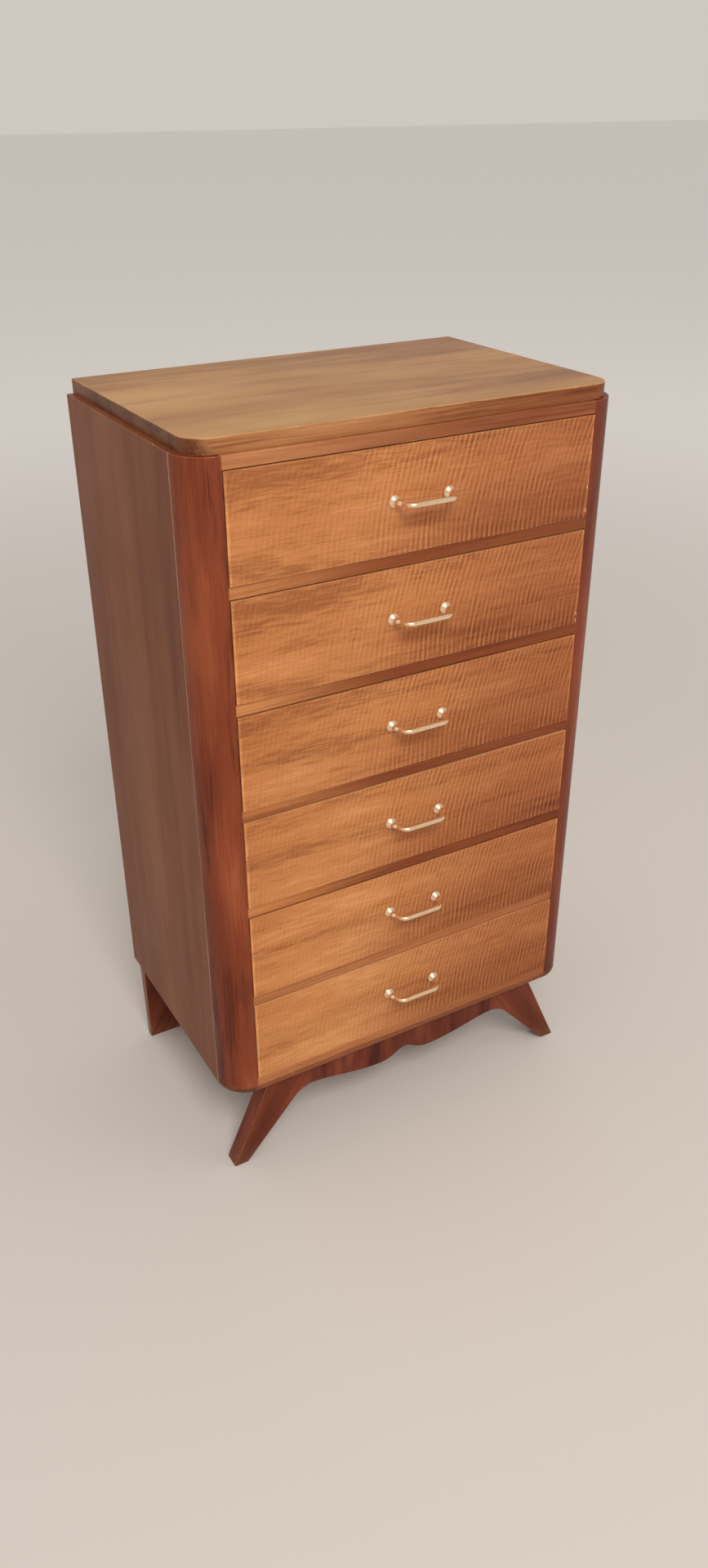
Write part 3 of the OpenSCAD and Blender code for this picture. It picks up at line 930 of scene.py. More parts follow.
    def paint_hand_marks_and_shadow(self) -> None:
        """Darkens an oval under each handle: hand marks and the handle's painted shadow."""
        spot = self.look.touched
        x, _, z = self.split(self.fibres)
        across = self.math("DIVIDE", x, spot.half_width)
        up = self.math("DIVIDE", self.minus(z, spot.height), spot.half_height)
        off = self.distance(self.joined(across, up, 0.0), (0.0, 0.0, 0.0))
        # Hand marks and painted shadow: the oval sits just below the handle's bar.
        self.stain(self.ease(off, 1.0, 0.2, 0.0, spot.strength), spot.tint)

    def scratch(self) -> None:
        """Draws one thin curved scratch."""
        mark = self.look.scratch
        spot = self.joined(self.x, self.z, 0.0)
        out = self.distance(spot, (*mark.hub, 0.0))
        off = self.math("ABSOLUTE", self.minus(out, mark.radius))
        far = self.distance(spot, (*mark.middle, 0.0))
        line = self.ease(off, mark.half_width, mark.core)
        share = self.times(line, self.ease(far, mark.reach, 0.6 * mark.reach))
        self.stain(self.times(share, mark.strength), mark.tint)

    def age(self) -> None:
        """Darkens the pores and rubs the arrises."""
        self.stain(self.times(self.grain["Pores"], self.look.pores), self.pore_tint)
        wear = self.place(self.effects.wear, Vector=self.where, Amount=self.look.wear)
        self.colour = self.mix(wear["Rubbed"], self.colour, self.tones[3])
        self.colour = self.mix(wear["Bare"], self.colour, self.bare_wood)

    def settle_dust(self) -> None:
        """Lets a little dust lie near the floor."""
        low = self.ease(self.z, self.look.dusty_to, 0.0)
        share = self.times(low, self.ease(self.grain["Fibre"], 0.1, 0.9, 0.06, 0.22))
        self.colour = self.mix(share, self.colour, self.dust)


@dataclass(frozen=True)
class MetalFinish:
    """Polished or plain metal with faint brushing and tarnish."""

    name: str
    bright: Colour
    tarnish: Colour
    matt: float
    tarnish_share: float

    def make(self, _effects: Effects) -> bpy.types.Material:
        """Builds the material.

        Args:
            _effects: The shared node groups, which metal has no use for.

        Returns:
            The material.
        """
        surface = Surface(self.name)
        where = surface.own_place()
        clouds = surface.noise(where, None, 4.0, 0.65, 90.0)
        share = surface.ease(clouds, 0.42, 0.8, 0.0, self.tarnish_share)
        lines = surface.noise(where, (60.0, 2400.0, 2400.0))
        rough = surface.math("MULTIPLY_ADD", lines, 0.1, self.matt - 0.05)
        return surface.shade(
            Base_Color=surface.mix(share, self.bright, self.tarnish),
            Roughness=surface.math("MULTIPLY_ADD", share, 0.3, rough),
            Normal=surface.bump(lines, 0.12, 0.1 * MM),
            Metallic=1.0,
        )


FINISHES: tuple[WoodFinish | MetalFinish, ...] = (
    WoodFinish(
        "Slab walnut", ((150, 100, 52), (184, 135, 78), (196, 150, 92), (206, 160, 106)),
        band_scale=7.0, band_stretch=0.13, wander=36 * MM, fibre=0.25,
        cloud=0.8, cloud_scale=5.0, cloud_tint=(0.74, 0.62, 0.5), wear=0.35, coat=0.1,
        # Painted shade: the slab darkens towards the right, where the light falls off.
        tone_and_painted_light_drifts=(Drift(-0.25, 0.4, (0.84, 0.78, 0.74)),),
        streaks=Streaks(-0.36, -0.15, (0.62, 0.48, 0.36), 1.8, low_tint=(1.0, 1.0, 1.0)),
    ),
    WoodFinish(
        "Slab edge walnut", ((136, 82, 46), (174, 121, 76), (192, 143, 96), (196, 142, 94)),
        band_scale=30.0, cloud=0.7, cloud_scale=7.0, cloud_tint=(0.66, 0.5, 0.4),
        wear=0.4, coat=0.1, specular=0.15,
        # The edge darkens round the rounded corners and ends; painted shade darkens it towards the right.
        tone_and_painted_light_drifts=(
            Drift(0.3, 0.336, (0.44, 0.34, 0.3), both_sides=True),
            Drift(-0.25, 0.3, (0.64, 0.48, 0.42)),
        ),
    ),
    WoodFinish(
        "Side walnut", ((104, 52, 27), (125, 69, 38), (142, 83, 47), (160, 108, 70)),
        Grain.ALONG_Z, band_scale=10.0, band_stretch=0.05,
        cloud=0.6, cloud_scale=3.0, cloud_tint=(0.68, 0.56, 0.56),
        wear=0.4, coat=0.04, coat_matt=0.3, specular=0.12,
    ),
    WoodFinish(
        "Post walnut", ((94, 39, 22), (136, 64, 36), (156, 82, 49), (170, 104, 68)),
        Grain.ALONG_Z, band_scale=16.0, band_stretch=0.16, wander=40 * MM, fibre=0.25,
        cloud=0.5, cloud_scale=9.0, cloud_tint=(0.58, 0.44, 0.38),
        wear=0.4, coat=0.12, specular=0.15, shift=(0.0, 0.0, 0.12),
        # Painted shade: the posts darken where they turn to the sides, and the right post darkens towards
        # the right.
        tone_and_painted_light_drifts=(
            Drift(0.312, 0.345, (0.8, 0.73, 0.71), both_sides=True),
            Drift(0.1, 0.3, (0.7, 0.6, 0.58)),
        ),
    ),
    WoodFinish(
        "Rail walnut", ((150, 86, 46), (180, 112, 64), (198, 134, 82), (204, 146, 96)),
        band_scale=40.0, band_stretch=0.05, cloud=0.4, wear=0.15, coat=0.08, specular=0.15,
        # Painted shade: the rails darken towards the right, where the light falls off.
        tone_and_painted_light_drifts=(Drift(-0.3, 0.02, (0.43, 0.27, 0.22)),),
    ),
    WoodFinish(
        "Low rail walnut", ((150, 88, 48), (182, 116, 68), (198, 136, 86), (202, 148, 100)),
        band_scale=34.0, band_stretch=0.05, cloud=0.3, wear=0.15, coat=0.2, specular=0.15,
        # Painted shade: the rail darkens towards the right, where the light falls off.
        tone_and_painted_light_drifts=(Drift(-0.2, 0.3, (0.68, 0.54, 0.48)),),
    ),
    WoodFinish(
        "Top rail walnut", ((144, 84, 46), (174, 112, 68), (192, 134, 88), (204, 150, 100)),
        band_scale=34.0, band_stretch=0.05, cloud=0.3, wear=0.15, coat=0.2, specular=0.15,
        # Painted shade: the top rail darkens towards the right, where the light falls off.
        tone_and_painted_light_drifts=(Drift(-0.3, 0.1, (0.62, 0.48, 0.44)),),
    ),
    WoodFinish(
        "Bead walnut", ((108, 52, 30), (135, 74, 43), (153, 93, 57), (180, 124, 84)),
        band_scale=34.0, band_stretch=0.05, cloud=0.4, wear=0.1, coat=0.1, specular=0.15,
        # Round the corners under the posts the bead is darker: painted shade together with the wood's own
        # darker colour. Painted shade also darkens it towards the right.
        tone_and_painted_light_drifts=(
            Drift(0.285, 0.31, (0.5, 0.36, 0.32), both_sides=True),
            Drift(-0.2, 0.3, (0.8, 0.7, 0.64)),
        ),
    ),
    WoodFinish(
        "Front veneer", ((154, 92, 50), (189, 124, 73), (208, 146, 92), (214, 162, 110)),
        band_scale=16.0, band_stretch=0.1, fibre=0.34, fleck=26.0, pores=0.4,
        cloud=0.6, cloud_scale=7.0, cloud_tint=(0.8, 0.68, 0.58),
        wear=0.2, coat=0.32, coat_matt=0.1, specular=0.08,
        # Each front darkens in an oval under its handle: hand marks and the handle's painted shadow.
        ripple=Ripple(), leaves=Leaves(LOWEST_FRONT, FRONT_PITCH), touched=Touched(),
        # Painted shade darkens each front towards the right; a painted highlight lightens a thin strip at
        # both ends.
        tone_and_painted_light_drifts=(
            Drift(-0.12, 0.3, (0.7, 0.57, 0.51)),
            Drift(0.2942, 0.2952, (1.35, 1.4, 1.45), both_sides=True),
        ),
        streaks=Streaks(-0.24, 0.14, (0.52, 0.36, 0.28), 0.9),
        scratch=Scratch((-0.066, 0.936), 0.048, (-0.1115, 0.947), 0.016),
    ),
    WoodFinish(
        "Rubbed front edge", ((150, 98, 58), (190, 134, 88), (208, 156, 108), (220, 174, 126)),
        band_scale=30.0, cloud=0.2, wear=0.4, coat=0.2,
    ),
    WoodFinish(
        "Front edge wood", ((116, 68, 38), (146, 90, 52), (166, 110, 68), (186, 130, 84)),
        band_scale=30.0, cloud=0.2, wear=0.15, coat=0.2,
    ),
    WoodFinish(
        "Leg walnut", ((94, 40, 23), (110, 49, 29), (124, 60, 36), (160, 104, 68)),
        Grain.SPLAYED, band_scale=22.0, wander=20 * MM,
        cloud=0.7, cloud_scale=14.0, cloud_tint=(0.56, 0.44, 0.38),
        wear=0.4, coat=0.08, specular=0.15, dusty_to=45 * MM,
    ),
    WoodFinish(
        "Leg edge walnut", ((98, 53, 33), (128, 76, 50), (150, 97, 66), (176, 122, 84)),
        Grain.ALONG_Z, band_scale=40.0, cloud=0.6, cloud_scale=12.0, coat=0.1, dusty_to=45 * MM,
    ),
    WoodFinish(
        "Apron walnut", ((78, 30, 18), (104, 45, 27), (122, 58, 35), (140, 84, 54)),
        Grain.ALONG_Z, band_scale=40.0, band_stretch=0.14, wander=24 * MM, fibre=0.2,
        cloud=0.7, cloud_scale=9.0, cloud_tint=(0.5, 0.36, 0.32), wear=0.25, coat=0.08, specular=0.15,
    ),
    WoodFinish(
        "Pale inlay", ((122, 78, 50), (168, 116, 78), (194, 144, 102), (202, 156, 114)),
        Grain.ALONG_Z, band_scale=60.0, cloud=0.8, cloud_scale=14.0, cloud_tint=(0.6, 0.44, 0.36),
    ),
    WoodFinish(
        "Beech along the depth", ((188, 140, 94), (206, 160, 114), (220, 178, 132), (222, 184, 140)),
        Grain.ALONG_Y, coat=0.0, matt=0.6, band_scale=24.0,
    ),
    WoodFinish(
        "Beech along the width", ((184, 136, 92), (204, 158, 112), (218, 176, 130), (222, 184, 140)),
        coat=0.0, matt=0.6, band_scale=24.0,
    ),
    WoodFinish(
        "Poplar", ((142, 112, 72), (166, 134, 90), (182, 150, 106), (186, 156, 114)),
        Grain.ALONG_Y, coat=0.0, matt=0.68, band_scale=20.0, cloud=0.5,
    ),
    WoodFinish(
        "Plywood", ((168, 130, 84), (190, 152, 102), (204, 170, 122), (206, 176, 130)),
        coat=0.0, matt=0.62, band_scale=8.0, cloud=0.4,
    ),
    MetalFinish("Pale brass", linear((250, 221, 186)), linear((192, 138, 98)), 0.27, 0.4),
    MetalFinish("Screw steel", linear((150, 148, 142)), linear((96, 84, 70)), 0.38, 0.6),
)


# Sub-assemblies


@dataclass
class Assembly:
    """Pieces of the chest that ride on one body."""

    finishes: dict[str, bpy.types.Material]
    body: str = "carcass"

    def piece(self, name: str, node: str, slot: str, shells: list[Shell], *looks: str) -> bpy.types.Object:
        """Turns shells into one piece that rides on the body in place of a node.

        Args:
            name: The name of the piece.
            node: The node that it replaces.
            slot: The material slot of the record; it is not used.
            shells: Its closed surfaces.
            *looks: Its finishes, as the shells count them.

        Returns:
            The new object.
        """
        faces, offset = [], 0
        for shell in shells:
            faces += [[offset + index for index in face] for face in shell.faces]
            offset += len(shell.points)
        mesh = bpy.data.meshes.new(name)
        mesh.from_pydata(np.concatenate([shell.points for shell in shells]).tolist(), [], faces)
        for key in ("arris", "raw"):
            values = np.concatenate([getattr(shell, key) for shell in shells])
            marks = mesh.attributes.new(key, "FLOAT", "POINT")
            marks.data.foreach_set("value", values.astype(np.float32))
        for look in looks:
            mesh.materials.append(self.finishes[look])
        if len(looks) > 1:
            numbers = [number for shell in shells for number in shell.looks]
            mesh.polygons.foreach_set("material_index", numbers)
        tidy_mesh(mesh)
        piece = add_object(name, mesh)
        weighted = piece.modifiers.new("flat faces stay flat", "WEIGHTED_NORMAL")
        weighted.keep_sharp = True
        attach(piece, self.body)
        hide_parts(node)
        LOG.info("%s: %d faces, rides on %s", name, len(mesh.polygons), self.body)
        return piece

    def dress(self, look: str, *nodes: str) -> None:
        """Gives nodes of the frame a finish and leaves their shape.

        Args:
            look: The name of the finish.
            *nodes: The nodes.
        """
        for node in nodes:
            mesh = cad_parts[node].data
            if not mesh.materials:
                mesh.materials.append(None)
            for k in range(len(mesh.materials)):
                mesh.materials[k] = self.finishes[look]
            LOG.info("%s: dressed in %s", node, look)


@dataclass
class Carcass(Assembly):
    """The fixed body: slab, side panels, posts, rails and boards."""

    post_r: float = 51 * MM
    slab_corner_r: float = 38 * MM
    back_rebate: float = 8 * MM
    back_t: float = 6 * MM
    inlay_w: float = 2.5 * MM
    inlay_d: float = 3 * MM
    bead_top: float = 2.2 * MM
    bead_bottom: float = 4.2 * MM
    housed_share: float = 0.08
    dividers: int = len(DRAWERS) - 1

    def build(self) -> None:
        """Builds and dresses every piece of the carcass."""
        self.slab()
        for side in Side:
            self.panel(side)
            self.post(side)
        self.rails()
        self.bottom_board()
        self.dress("Pale inlay", "inlay_strips")
        self.dress("Poplar", "subtop_board", "drawer_runners", "drawer_guides", "drawer_stops")
        self.dress("Plywood", "back_panel")
        self.dress("Screw steel", "frame_screws", "back_screws")

    def slab(self) -> None:
        """The top slab, with two rounded front corners."""
        low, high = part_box("top_slab")
        front = front_corners(low, high, self.slab_corner_r, 18)
        outline = [(low.x, high.y), *front, (high.x, high.y)]
        board = Board(outline, Facing.UP, low.z, high.z, high_ease=1.6 * MM, corner=1.6 * MM)
        looks = ("Slab walnut", "Slab edge walnut")
        self.piece("slab", "top_slab", "slab_walnut", [board.shell()], *looks)

    def panel(self, side: Side) -> None:
        """A side panel, rebated for the back and notched for the inlay.

        Args:
            side: The side that it is on.
        """
        node = f"{side.word}_side_panel"
        low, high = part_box(node)
        outer, inner = (low.x, high.x) if side is Side.LEFT else (high.x, low.x)
        notch, rebate = outer - side.value * self.inlay_d, inner + side.value * self.back_rebate
        front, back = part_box("inlay_strips")[0].y, high.y - self.back_t
        outline = [(notch, front), (inner, front), (inner, back), (rebate, back), (rebate, high.y)]
        outline += [(outer, high.y), (outer, front + self.inlay_w), (notch, front + self.inlay_w)]
        board = Board(outline, Facing.UP, low.z, high.z, corner=0.5 * MM)
        self.piece(f"panel.{side.word}", node, "side_walnut", [board.shell()], "Side walnut")

    def post(self, side: Side) -> None:
        """A quarter-round post over the full height.

        Args:
            side: The side that it is on.
        """
        node = f"{side.word}_corner_post"
        low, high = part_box(node)
        r = self.post_r
        x, start = (low.x + r, 180) if side is Side.LEFT else (high.x - r, 270)
        hub = (x, low.y + r)
        outline = [*arc(hub, r, start, start + 90, 24), hub]
        board = Board(outline, Facing.UP, low.z, high.z, corner=0.7 * MM, low_ease=0.5 * MM)
        self.piece(f"post.{side.word}", node, "post_walnut", [board.shell()], "Post walnut")

    def rails(self) -> None:
        """The top rail, the rails between the drawers and the bottom rail."""
        bottom_low, bottom_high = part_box("bottom_rail")
        low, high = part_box("divider_rails")
        thick = bottom_high.z - bottom_low.z
        pitch = (high.z - low.z - thick) / (self.dividers - 1)
        shells = []
        for k in range(self.dividers):
            z = low.z + k * pitch
            shell = self.rail(low.y, high.y, z, z + thick)
            shell.looks = [int(k == 0)] * len(shell.faces)
            shells.append(shell)
        looks = ("Rail walnut", "Low rail walnut")
        self.piece("rails.divider", "divider_rails", "rail_walnut", shells, *looks)
        for place, look in (("top", "Top rail walnut"), ("bottom", "Low rail walnut")):
            low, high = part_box(f"{place}_rail")
            shell = self.rail(low.y, high.y, low.z, high.z)
            self.piece(f"rail.{place}", f"{place}_rail", "rail_walnut", [shell], look)

    @staticmethod
    def rail(front: float, back: float, z0: float, z1: float) -> Shell:
        """One rail between the two posts.

        Args:
            front: Where its front is.
            back: Where its back is.
            z0: Its lower edge.
            z1: Its upper edge.

        Returns:
            The rail's surface.
        """
        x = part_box("right_corner_post")[0].x
        outline = [(-x, z0), (x, z0), (x, z1), (-x, z1)]
        eases = {"low_ease": 0.6 * MM, "high_ease": 0.4 * MM, "corner": 0.4 * MM}
        return Board(outline, Facing.FRONT, front, back, **eases).shell()

    def bottom_board(self) -> None:
        """The bottom board, whose front edge is a bead that runs round under the posts."""
        low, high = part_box("bottom_board")
        x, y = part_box("subtop_board")[1].x, low.y + self.post_r
        outline = front_corners(low, high, self.post_r, 24)
        outline += [(x, y), (x, high.y), (-x, high.y), (-x, y)]
        board = Board(
            outline,
            Facing.UP,
            low.z,
            high.z,
            low_ease=self.bead_bottom,
            high_ease=self.bead_top,
            corner=0.4 * MM,
            reach=2 * MM,
            ease_share=lambda points: np.where(points[:, 1] < y - 1 * MM, 1.0, self.housed_share),
        )
        self.piece("board.bottom", "bottom_board", "rail_walnut", [board.shell()], "Bead walnut")


@dataclass
class Base(Assembly):
    """The low base: splayed front legs, shaped apron and plain rear legs."""

    foot_w: float = 26 * MM
    leg_top_x: float = 272 * MM
    apron_half: float = 186 * MM
    peak_depth: float = 43.5 * MM
    peak_dip: float = 2.5 * MM
    lobe_depth: float = 63 * MM
    notch_depth: float = 45.5 * MM
    lobe_x: float = 52 * MM
    leg_curve_r: float = 54 * MM
    rear_foot_w: float = 70 * MM
    rear_foot_t: float = 14 * MM
    rear_rail_h: float = 46 * MM
    joint_share: float = 0.15

    def build(self) -> None:
        """Builds and dresses every piece of the base."""
        self.apron()
        for side in Side:
            self.front_leg(side)
            self.rear_leg(side)
        self.dress("Poplar", "rear_rail", "side_bearers")

    def away_from_joint(self, points: np.ndarray) -> np.ndarray:
        """Almost no rounding where leg and apron meet, and all of it elsewhere."""
        gap = np.abs(np.abs(points[:, 0]) - self.apron_half)
        return np.where(gap < 0.5 * MM, self.joint_share, 1.0)

    def base_board(self, name: str, node: str, outline: list[Point], look: str, *eases: float) -> None:
        """A board of the front base.

        Args:
            name: The name of the piece.
            node: The node that it replaces.
            outline: Its corner points.
            look: Its finish.
            *eases: The rounding of its front rim, of its back rim and of its corners.
        """
        low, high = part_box(node)
        board = Board(outline, Facing.FRONT, low.y, high.y, *eases, ease_share=self.away_from_joint)
        self.piece(name, node, "base_walnut", [board.shell()], look)

    def front_leg(self, side: Side) -> None:
        """A splayed leg with a hollow curve towards the apron.

        Args:
            side: The side that it is on.
        """
        node = f"front_{side.word}_leg"
        low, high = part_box(node)
        top, r = high.z, self.leg_curve_r
        foot_x = max(abs(low.x), abs(high.x))
        foot_in = foot_x - self.foot_w
        hub = (self.apron_half, top - self.peak_depth - r)
        run = (foot_in - hub[0], -hub[1])
        last = math.degrees(math.atan2(run[1], run[0]) + math.acos(r / math.hypot(*run)))
        outline = [(self.apron_half, top), (self.leg_top_x, top), (foot_x, 0.0), (foot_in, 0.0)]
        outline = [(side.value * x, z) for x, z in outline + arc(hub, r, last, 90, 18)]
        name = f"leg.front.{side.word}"
        self.base_board(name, node, outline, "Leg walnut", 1.2 * MM, 1 * MM, 1.4 * MM)

    def apron(self) -> None:
        """The shaped board between the front legs."""
        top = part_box("front_apron")[1].z
        half, lobe_x = self.apron_half, self.lobe_x
        depths = (self.peak_depth, self.lobe_depth, self.notch_depth)
        peak, lobe, notch = (top - depth for depth in depths)
        span = half - lobe_x
        right = [(0.0, notch)]
        right += cubic(right[0], (0.27 * lobe_x, notch), (0.46 * lobe_x, lobe), (lobe_x, lobe), 14)
        pulls = (lobe_x + 0.36 * span, lobe), (half - 0.27 * span, peak - self.peak_dip)
        right += cubic(right[-1], *pulls, (half, peak), 20)
        left = [(-x, z) for x, z in reversed(right[1:])]
        outline = left + right + [(half, top), (-half, top)]
        self.base_board("apron", "front_apron", outline, "Apron walnut", 1 * MM, 1 * MM, 1 * MM)

    def rear_leg(self, side: Side) -> None:
        """A rear leg board that thins towards the floor.

        Args:
            side: The side that it is on.
        """
        node = f"rear_{side.word}_leg"
        low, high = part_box(node)
        top = high.z
        inner, outer = sorted((abs(low.x), abs(high.x)))
        outline = [(inner, top), (outer, top), (outer, 0.0), (outer - self.rear_foot_w, 0.0)]
        outline = [(side.value * x, z) for x, z in [*outline, (inner, top - self.rear_rail_h)]]
        shell = Board(outline, Facing.FRONT, low.y, high.y, low_ease=1 * MM, high_ease=1 * MM).shell()
        share = self.rear_foot_t / (high.y - low.y)
        height = np.clip(shell.points[:, 2] / top, 0, 1)
        depth = shell.points[:, 1] - low.y
        shell.points[:, 1] = low.y + depth * (share + (1 - share) * height)
        looks = ("Leg walnut", "Leg edge walnut")
        self.piece(f"leg.rear.{side.word}", node, "base_walnut", [shell], *looks)


def smooth(t: float) -> float:
    """Eases a share from 0 to 1 in and out."""
    return t * t * (3 - 2 * t)


@dataclass
class Handle(Assembly):
    """A bow handle: two flared feet, bent arms and a bar that swells to its middle."""

    half_w: float = 45 * MM
    reach: float = 30 * MM
    rosette_r: float = 10 * MM
    rosette_rim: float = 1.4 * MM
    rosette_l: float = 10 * MM
    neck_r: float = 4.2 * MM
    arm_r: float = 3.6 * MM
    arm_start_r: float = 3.72 * MM
    arm_l: float = 6 * MM
    arm_pull: float = 2.4 * MM
    bar_end_r: float = 4.05 * MM
    bar_r: float = 4.19 * MM
    lean: float = math.radians(15)
    bend_r: float = 12 * MM
    sides: int = 32
    rim: tuple[Point, ...] = ((0.0, 0.975), (0.02, 0.99), (0.12, 1.0), (0.8, 1.0), (0.95, 0.985))

    def half_path(self) -> list[Triple]:
        """The right half of the path, from its foot to the middle of the bar.

        Returns:
            For each point its X, its distance from the drawer's face and its radius.
        """
        x, rim, r = self.half_w, self.rosette_rim, self.rosette_r
        rows = [(x, at * rim, share * r) for at, share in self.rim]
        for t in np.linspace(0.04, 1, 15):
            swell = (1 + math.cos(math.pi * t**0.8)) / 2
            y = rim + (self.rosette_l - rim) * 0.9 * t
            rows.append((x, y, self.neck_r + (0.97 * r - self.neck_r) * swell))
        _, foot_y, foot_r = rows[-1]
        sin, cos = math.sin(self.lean), math.cos(self.lean)
        elbow = x - self.reach * math.tan(self.lean)
        bar_half = elbow - self.bend_r * math.tan((math.pi / 2 - self.lean) / 2)
        hub = (bar_half, self.reach - self.bend_r)
        bend_start = (hub[0] + self.bend_r * cos, hub[1] + self.bend_r * sin)
        joint = (bend_start[0] + self.arm_l * sin, bend_start[1] - self.arm_l * cos)
        pull = (joint[0] + self.arm_pull * sin, joint[1] - self.arm_pull * cos)
        neck = cubic((x, foot_y), (x, foot_y + self.arm_pull), pull, joint, 9)
        for k, place in enumerate(neck, 1):
            rows.append((*place, foot_r + (self.arm_start_r - foot_r) * smooth(k / len(neck))))
        for t in np.linspace(0.25, 0.9, 4):
            place = (a + (b - a) * t for a, b in zip(joint, bend_start))
            rows.append((*place, self.arm_start_r + (self.arm_r - self.arm_start_r) * t))
        bend = arc(hub, self.bend_r, math.degrees(self.lean), 90, 16)
        for k, place in enumerate(bend):
            share = smooth(k / (len(bend) - 1))
            rows.append((*place, self.arm_r + (self.bar_end_r - self.arm_r) * share))
        for t in np.linspace(0, 1, 17)[1:]:
            swell = (1 - math.cos(math.pi * t)) / 2
            radius = self.bar_end_r + (self.bar_r - self.bar_end_r) * swell
            rows.append((bar_half * (1 - t), self.reach, radius))
        return rows

    def build(self) -> None:
        """Builds the handle of the drawer that it rides on."""
        node = f"{self.body}_handle"
        low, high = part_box(node)
        face, level = high.y, (low.z + high.z) / 2
        path = self.half_path()
        path += [(-x, y, r) for x, y, r in reversed(path[:-1])]
        line = np.array([(x, face - y, level) for x, y, _ in path])
        turns = np.linspace(0, math.tau, self.sides, endpoint=False)
        rows = []
        for place, way, (_, _, radius) in zip(line, np.gradient(line, axis=0), path):
            way = unit(way)
            spin = np.outer(np.cos(turns), (-way[1], way[0], 0.0)) + np.outer(np.sin(turns), (0, 0, 1))
            rows.append(place + radius * spin)
        points = np.concatenate(rows)
        points[:, 1] = np.minimum(points[:, 1], face)
        faces = tube_faces(len(rows), self.sides)
        none = np.zeros(len(points))
        shell = Shell(points, faces, none, none, [0] * len(faces))
        self.piece(f"{self.body}.handle", node, "handle_brass", [shell], "Pale brass")


@dataclass
class Drawer(Assembly):
    """One drawer: veneered front, dovetailed box and its handle."""

    tail_n: int = 4
    tail_l: float = 12 * MM
    tail_share: float = 0.58
    tail_flare: float = 2 * MM
    box_t: float = 12 * MM
    chips: tuple[float, ...] = ()
    edge: str = "Front edge wood"

    def build(self) -> None:
        """Builds and dresses every piece of the drawer."""
        self.front()
        Handle(self.finishes, self.body).build()
        self.dress("Beech along the depth", f"{self.body}_sides")
        self.dress("Beech along the width", f"{self.body}_back")
        self.dress("Plywood", f"{self.body}_bottom")
        self.dress("Screw steel", f"{self.body}_screws")

    def front(self) -> None:
        """The veneered front, with sockets for the dovetails at its ends."""
        node = f"{self.body}_front"
        low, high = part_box(node)
        nicks = tuple(Nick((high.x, low.y, low.z + up)) for up in self.chips)
        stations = sorted(nick.centre[2] + k * MM for nick in nicks for k in np.linspace(-4, 4, 9))
        margin = 5 * MM
        inside = [(high.x, z) for z in stations if low.z + margin < z < high.z - margin]
        outline = [(low.x, low.z), (high.x, low.z), *inside, (high.x, high.z), (low.x, high.z)]
        eases = {"low_ease": 0.9 * MM, "high_ease": 0.5 * MM, "corner": 0.9 * MM}
        shell = Board(outline, Facing.FRONT, low.y, high.y, nicks=nicks, **eases).shell()
        looks = ("Front veneer", self.edge)
        piece = self.piece(f"{self.body}.front", node, "front_veneer", [shell], *looks)
        self.cut_sockets(piece, high)

    def cut_sockets(self, piece: bpy.types.Object, high: Vector) -> None:
        """Cuts the dovetail sockets into both ends of the front.

        Args:
            piece: The front.
            high: Its highest corner.
        """
        side_low, side_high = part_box(f"{self.body}_sides")
        pitch = (side_high.z - side_low.z) / self.tail_n
        root = pitch * self.tail_share / 2
        end = root + self.tail_flare
        past = 1 * MM
        wide = root - self.tail_flare / self.tail_l * past
        back, front = high.y + past, high.y - self.tail_l
        section = [(-wide, back), (-end, front), (end, front), (wide, back)]
        verts, faces = [], []
        for side in Side:
            ends = (side.value * (high.x + past), side.value * (high.x - self.box_t))
            for k in range(self.tail_n):
                z = side_low.z + (k + 0.5) * pitch
                faces += [[len(verts) + index for index in face] for face in tube_faces(2, len(section))]
                verts += [(x, y, z + dz) for x in ends for dz, y in section]
        mesh = bpy.data.meshes.new("sockets")
        mesh.from_pydata(verts, [], faces)
        tidy_mesh(mesh)
        cutter = add_object("sockets", mesh)
        cut = piece.modifiers.new("sockets", "BOOLEAN")
        cut.operation, cut.solver, cut.object = "DIFFERENCE", "EXACT", cutter
        piece.modifiers.move(len(piece.modifiers) - 1, 0)
        graph = bpy.context.evaluated_depsgraph_get()
        shaped = piece.evaluated_get(graph)
        done = bpy.data.meshes.new_from_object(shaped, preserve_all_data_layers=True, depsgraph=graph)
        piece.modifiers.clear()
        piece.data = done
        bpy.data.objects.remove(cutter)


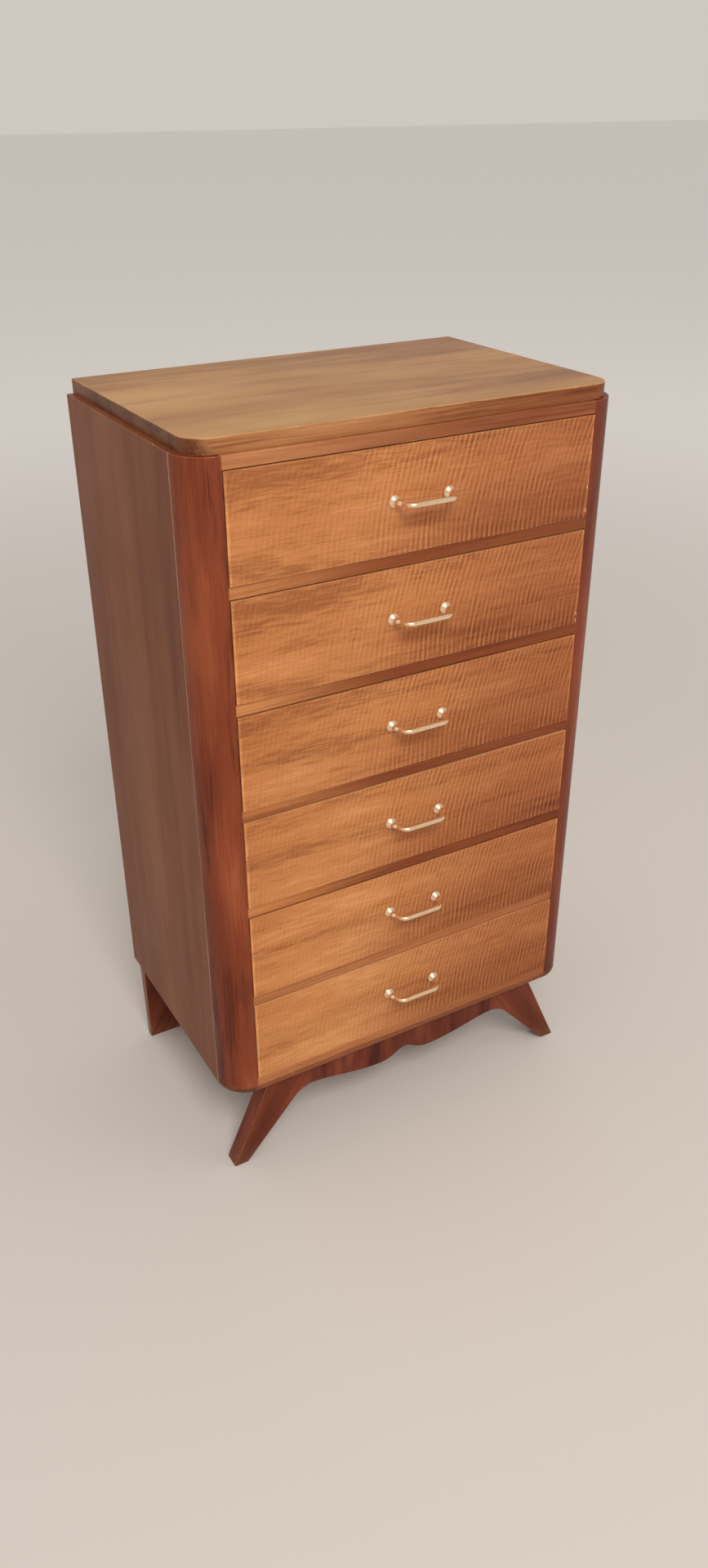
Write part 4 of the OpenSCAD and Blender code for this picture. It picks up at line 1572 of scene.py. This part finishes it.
@dataclass
class Studio:
    """A plain pale floor, soft lamps and the camera of the photograph."""

    floor_colour: Colour = linear((204, 196, 188))
    far_colour: Colour = linear((242, 236, 230))
    floor_half: float = 60.0
    lit_to: float = 1.6
    dim_from: float = 6.0
    backdrop: Colour = linear((206, 200, 193))
    sky: float = 0.62
    sky_colour: Colour = (1.0, 0.985, 0.965)
    lamp_colour: Colour = (1.0, 0.97, 0.93)
    lamp_aim: Triple = (0.0, 0.0, 0.6)
    key_place: Triple = (-1.5, -4.7, 5.4)
    key_size: float = 2.5
    key_power: float = 285.0
    fill_place: Triple = (4.4, -3.2, 2.2)
    fill_size: float = 3.6
    fill_power: float = 57.0
    place: Triple = (-0.9043, -1.6006, 1.6294)
    yaw: float = 29.478
    pitch: float = 29.996
    roll: float = 0.412
    focal_px: float = 1478.8
    centre_px: Point = (429.6, 965.0)
    image: tuple[int, int] = (867, 1920)

    def build(self) -> None:
        """Sets up floor, light and camera."""
        self.camera()
        self.floor()
        self.world()
        self.lamp("key lamp", self.key_place, self.key_size, self.key_power)
        fill = self.lamp("fill lamp", self.fill_place, self.fill_size, self.fill_power)
        fill.visible_glossy = False

    def camera(self) -> None:
        """Places the camera where the photograph was taken."""
        yaw, pitch, roll = (math.radians(a) for a in (self.yaw, self.pitch, self.roll))
        turned = Matrix.Rotation(-yaw, 4, "Z") @ Matrix.Rotation(math.pi / 2 - pitch, 4, "X")
        data = bpy.data.cameras.new("camera")
        long_side = max(self.image)
        data.sensor_width = 36.0
        data.lens = self.focal_px * data.sensor_width / long_side
        data.shift_x = (self.image[0] / 2 - self.centre_px[0]) / long_side
        data.shift_y = (self.centre_px[1] - self.image[1] / 2) / long_side
        camera = add_object("camera", data)
        camera.matrix_world = Matrix.Translation(self.place) @ turned @ Matrix.Rotation(-roll, 4, "Z")
        bpy.context.scene.camera = camera

    def floor(self) -> None:
        """Lays a wide plain floor, whose colour makes up for the falling light far away."""
        surface = Surface("Plain floor")
        here = surface.node("NewGeometry")["Position"]
        far = surface.ease(surface.distance(here, (0, 0, 0)), self.lit_to, self.dim_from)
        colour = surface.mix(far, self.floor_colour, self.far_colour)
        mesh = bpy.data.meshes.new("floor")
        half = self.floor_half
        corners = [(-half, -half, 0), (half, -half, 0), (half, half, 0), (-half, half, 0)]
        mesh.from_pydata(corners, [], [(0, 1, 2, 3)])
        mesh.materials.append(surface.shade(Base_Color=colour, Roughness=0.85))
        add_object("floor", mesh)

    def world(self) -> None:
        """Soft light from all round, with the plain backdrop where it is seen."""
        world = bpy.data.worlds.new("studio")
        bpy.context.scene.world = world
        world.use_nodes = True
        world.node_tree.nodes.clear()
        tree = Tree(world.node_tree)
        path = tree.node("LightPath")
        seen = tree.plus(path["Is Camera Ray"], path["Is Glossy Ray"])
        seen = tree.plus(seen, path["Is Transmission Ray"], clamp=True)
        light = tree.node("Background", self.sky_colour, self.sky)[0]
        plain = tree.node("Background", self.backdrop, 1.0)[0]
        tree.node("OutputWorld", tree.node("MixShader", seen, light, plain)[0])

    def lamp(self, name: str, place: Triple, size: float, power: float) -> bpy.types.Object:
        """Hangs a large square lamp that faces the chest.

        Args:
            name: The lamp's name.
            place: Where it hangs.
            size: The length of its sides.
            power: Its power in watts.

        Returns:
            The lamp.
        """
        data = bpy.data.lights.new(name, "AREA")
        data.size = size
        data.energy = power
        data.color = self.lamp_colour
        lamp = add_object(name, data)
        lamp.location = place
        aim = Vector(self.lamp_aim) - Vector(place)
        lamp.rotation_euler = aim.to_track_quat("-Z", "Y").to_euler()
        return lamp


def main() -> None:
    """Builds the studio and the chest, piece by piece."""
    logging.basicConfig(level=logging.INFO, format="%(name)s: %(message)s")
    bpy.context.scene.view_settings.view_transform = "Standard"
    Studio().build()
    effects = Effects()
    finishes = {}
    for finish in FINISHES:
        finishes[finish.name] = finish.make(effects)
        LOG.info("finish %s", finish.name)
    Carcass(finishes).build()
    Base(finishes).build()
    chips = {1: (0.048, 0.012), 2: (0.006, 0.018), 5: (0.149,)}
    rubbed = (4, 6)
    for number in DRAWERS:
        drawer = Drawer(finishes, f"drawer_{number}", chips=chips.get(number, ()))
        if number in rubbed:
            drawer.edge = "Rubbed front edge"
        drawer.build()


if __name__ == "__main__":
    main()
